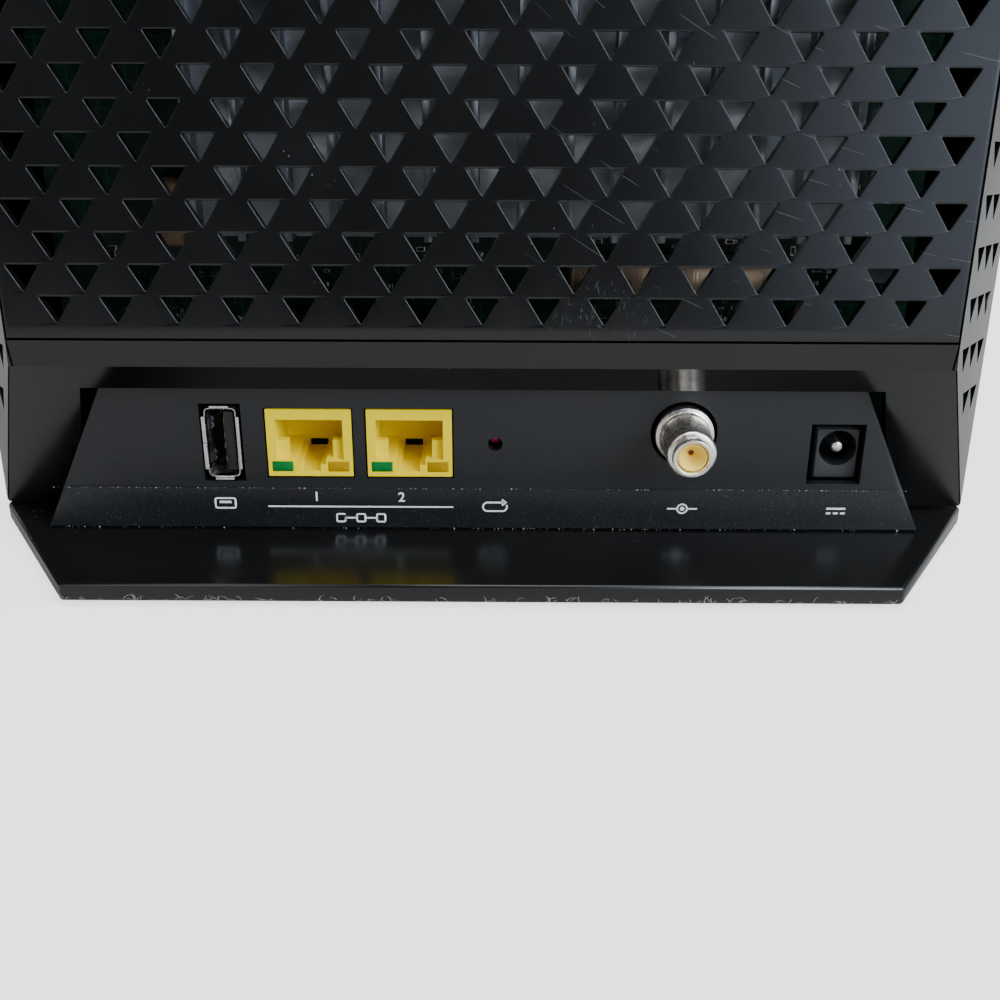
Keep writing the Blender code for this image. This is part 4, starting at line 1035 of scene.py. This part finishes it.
# Grains are squashed octahedra scattered along the strip's two edges; fibres are thin three-sided
# tubes, each bent by its own random amount, along the foot's lower rear edge.
def dustAndFluff():
    s = dustSettings
    random = np.random.default_rng(randomSeed + 1)
    axes = np.array([[1, 0, 0], [0, 1, 0], [-1, 0, 0], [0, -1, 0], [0, 0, 1], [0, 0, -1]], float)
    faces = np.array([[0, 1, 4], [1, 2, 4], [2, 3, 4], [3, 0, 4], [1, 0, 5], [2, 1, 5], [3, 2, 5], [0, 3, 5]])
    centres, radii = [], []
    for left, right, y, z, count in s["lines"]:
        x = random.uniform(left, right, count)
        inOut = y + random.normal(0, 0.03, count)
        centres.append(np.column_stack([x, inOut, z + np.abs(random.normal(0, 0.05, count))]))
        radii.append(0.035 + 0.10 * random.random(count) ** 4)
    centres, radii = np.concatenate(centres), np.concatenate(radii)
    stretch = random.uniform(0.5, 1.6, (len(centres), 1, 3)) * radii[:, None, None]
    points = (centres[:, None] + axes * stretch) * mm
    numbers = (faces + (np.arange(len(centres)) * 6)[:, None, None]).reshape(-1, 3)
    mesh = tidyMesh(meshFromArrays("dustGrains", points, [numbers]), 80)
    addPiece("dustGrains", mesh, finishes["fluff"])
    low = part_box("base_plate")[0]
    count = s["fibres"]
    share = np.linspace(0, 1, 7)
    size = random.uniform(*s["fibreSize"], (count, 1))
    turn = random.uniform(0, math.tau, (count, 1)) + share * random.uniform(0.8, 3.2, (count, 1))
    x = random.uniform(*s["fibreSpan"], (count, 1)) + np.cumsum(np.cos(turn), 1) * size / 7
    z = low.z / mm + 0.15 + np.abs(np.cumsum(np.sin(turn), 1)) * size / 9
    y = np.broadcast_to(low.y / mm - 0.06, x.shape)
    path = np.stack([x, y, z], -1)
    around = np.radians([90, 210, 330])
    ring = np.stack([np.cos(around), np.sin(around), np.zeros(3)], -1) * s["fibreRadius"]
    thin = np.sin(math.pi * (0.12 + 0.76 * share))[None, :, None, None]
    mesh = tidyMesh(meshFromArrays("footFluff", *manyStacks((path[:, :, None] + ring * thin) * mm)), 80, 1e-9)
    addPiece("footFluff", mesh, finishes["fluff"])


print("scattering dust")
dustAndFluff()


# Camera, floor and light

cameraSettings = {"place": (0.0030, -0.2251, 0.1032), "tilt": 65.6, "roll": 0.29, "lens": 45.18, "sensor": 36}


def addCamera():
    s = cameraSettings
    camera = bpy.data.cameras.new("camera")
    camera.sensor_width = s["sensor"]
    camera.lens = s["lens"]
    camera.clip_start = 0.01
    holder = bpy.data.objects.new("camera", camera)
    turn = Matrix.Rotation(math.radians(s["tilt"]), 4, "X") @ Matrix.Rotation(math.radians(s["roll"]), 4, "Z")
    holder.matrix_world = Matrix.Translation(s["place"]) @ turn
    bpy.context.collection.objects.link(holder)
    bpy.context.scene.camera = holder


# The floor gives off this much light for the camera alone, so that it stays pale beside black.
floorLift = 1.75


def addFloor():
    mesh = meshFromArrays("floor", [(-4, -4, 0), (4, -4, 0), (4, 4, 0), (-4, 4, 0)], [[[0, 1, 2, 3]]])
    floor = bpy.data.objects.new("floor", mesh)
    bpy.context.collection.objects.link(floor)
    finish = Finish("paleFloor", (0.55, 0.55, 0.55), 0.9, Specular_IOR_Level=0.2)
    seen = finish.nodes.new("ShaderNodeLightPath").outputs["Is Camera Ray"]
    finish.shader.inputs["Emission Color"].default_value = (1, 1, 1, 1)
    lifted = finish.sums("MULTIPLY", seen, floorLift)
    finish.links.new(lifted, finish.shader.inputs["Emission Strength"])
    mesh.materials.append(finish.material)


lights = {
    "rightPanel": {"place": (0.95, -0.85, 0.75), "size": (0.8, 0.8), "power": 25, "colour": (0.9, 0.95, 1.0)},
    "leftPanel": {"place": (-0.9, -0.75, 0.8), "size": (0.6, 0.8), "power": 3, "colour": (1.0, 0.96, 0.90)},
    "overhead": {"place": (0.1, -0.35, 1.3), "size": (0.9, 0.7), "power": 14, "colour": (1.0, 1.0, 1.0)},
    "farSide": {"place": (0.2, 1.3, 0.9), "size": (1.2, 0.8), "power": 9, "colour": (1.0, 1.0, 1.0)},
}
aimPoint = Vector((0, 0, 0.06))


def addLights():
    for name, s in lights.items():
        lamp = bpy.data.lights.new(name, "AREA")
        lamp.shape = "RECTANGLE"
        lamp.size, lamp.size_y = s["size"]
        lamp.energy = s["power"]
        lamp.color = s["colour"]
        holder = bpy.data.objects.new(name, lamp)
        holder.location = s["place"]
        holder.rotation_euler = (aimPoint - Vector(s["place"])).to_track_quat("-Z", "Y").to_euler()
        bpy.context.collection.objects.link(holder)


skySettings = {"plain": (0.085, 0.085, 0.085), "glow": (0.80, 0.93, 1.15), "glowStrength": 2.3,
               "towards": (0.66, -0.74, 0.12), "spread": (0.80, 0.99), "background": 2.0}


# The sky a surface reflects is dim grey, with a cool glow round one direction: the dot product of the
# ray with that direction, eased between two cosines. The camera itself sees plain white.
def addSky():
    s = skySettings
    world = bpy.data.worlds.new("studio")
    world.use_nodes = True
    nodes, links = world.node_tree.nodes, world.node_tree.links
    ray = nodes.new("ShaderNodeTexCoord").outputs["Generated"]
    dot = nodes.new("ShaderNodeVectorMath")
    dot.operation = "DOT_PRODUCT"
    dot.inputs[1].default_value = Vector(s["towards"]).normalized()
    links.new(ray, dot.inputs[0])
    ease = nodes.new("ShaderNodeMapRange")
    ease.interpolation_type = "SMOOTHSTEP"
    ease.inputs["From Min"].default_value, ease.inputs["From Max"].default_value = s["spread"]
    ease.inputs["To Max"].default_value = s["glowStrength"]
    links.new(dot.outputs["Value"], ease.inputs["Value"])
    scaled = nodes.new("ShaderNodeVectorMath")
    scaled.operation = "SCALE"
    scaled.inputs[0].default_value = s["glow"]
    links.new(ease.outputs["Result"], scaled.inputs["Scale"])
    added = nodes.new("ShaderNodeVectorMath")
    added.inputs[1].default_value = s["plain"]
    links.new(scaled.outputs["Vector"], added.inputs[0])
    sky = nodes["Background"]
    links.new(added.outputs["Vector"], sky.inputs["Color"])
    white = nodes.new("ShaderNodeBackground")
    white.inputs["Strength"].default_value = s["background"]
    mix = nodes.new("ShaderNodeMixShader")
    links.new(nodes.new("ShaderNodeLightPath").outputs["Is Camera Ray"], mix.inputs["Fac"])
    links.new(sky.outputs["Background"], mix.inputs[1])
    links.new(white.outputs["Background"], mix.inputs[2])
    links.new(mix.outputs["Shader"], nodes["World Output"].inputs["Surface"])
    bpy.context.scene.world = world


print("setting camera, floor and light")
addCamera()
addFloor()
addLights()
addSky()
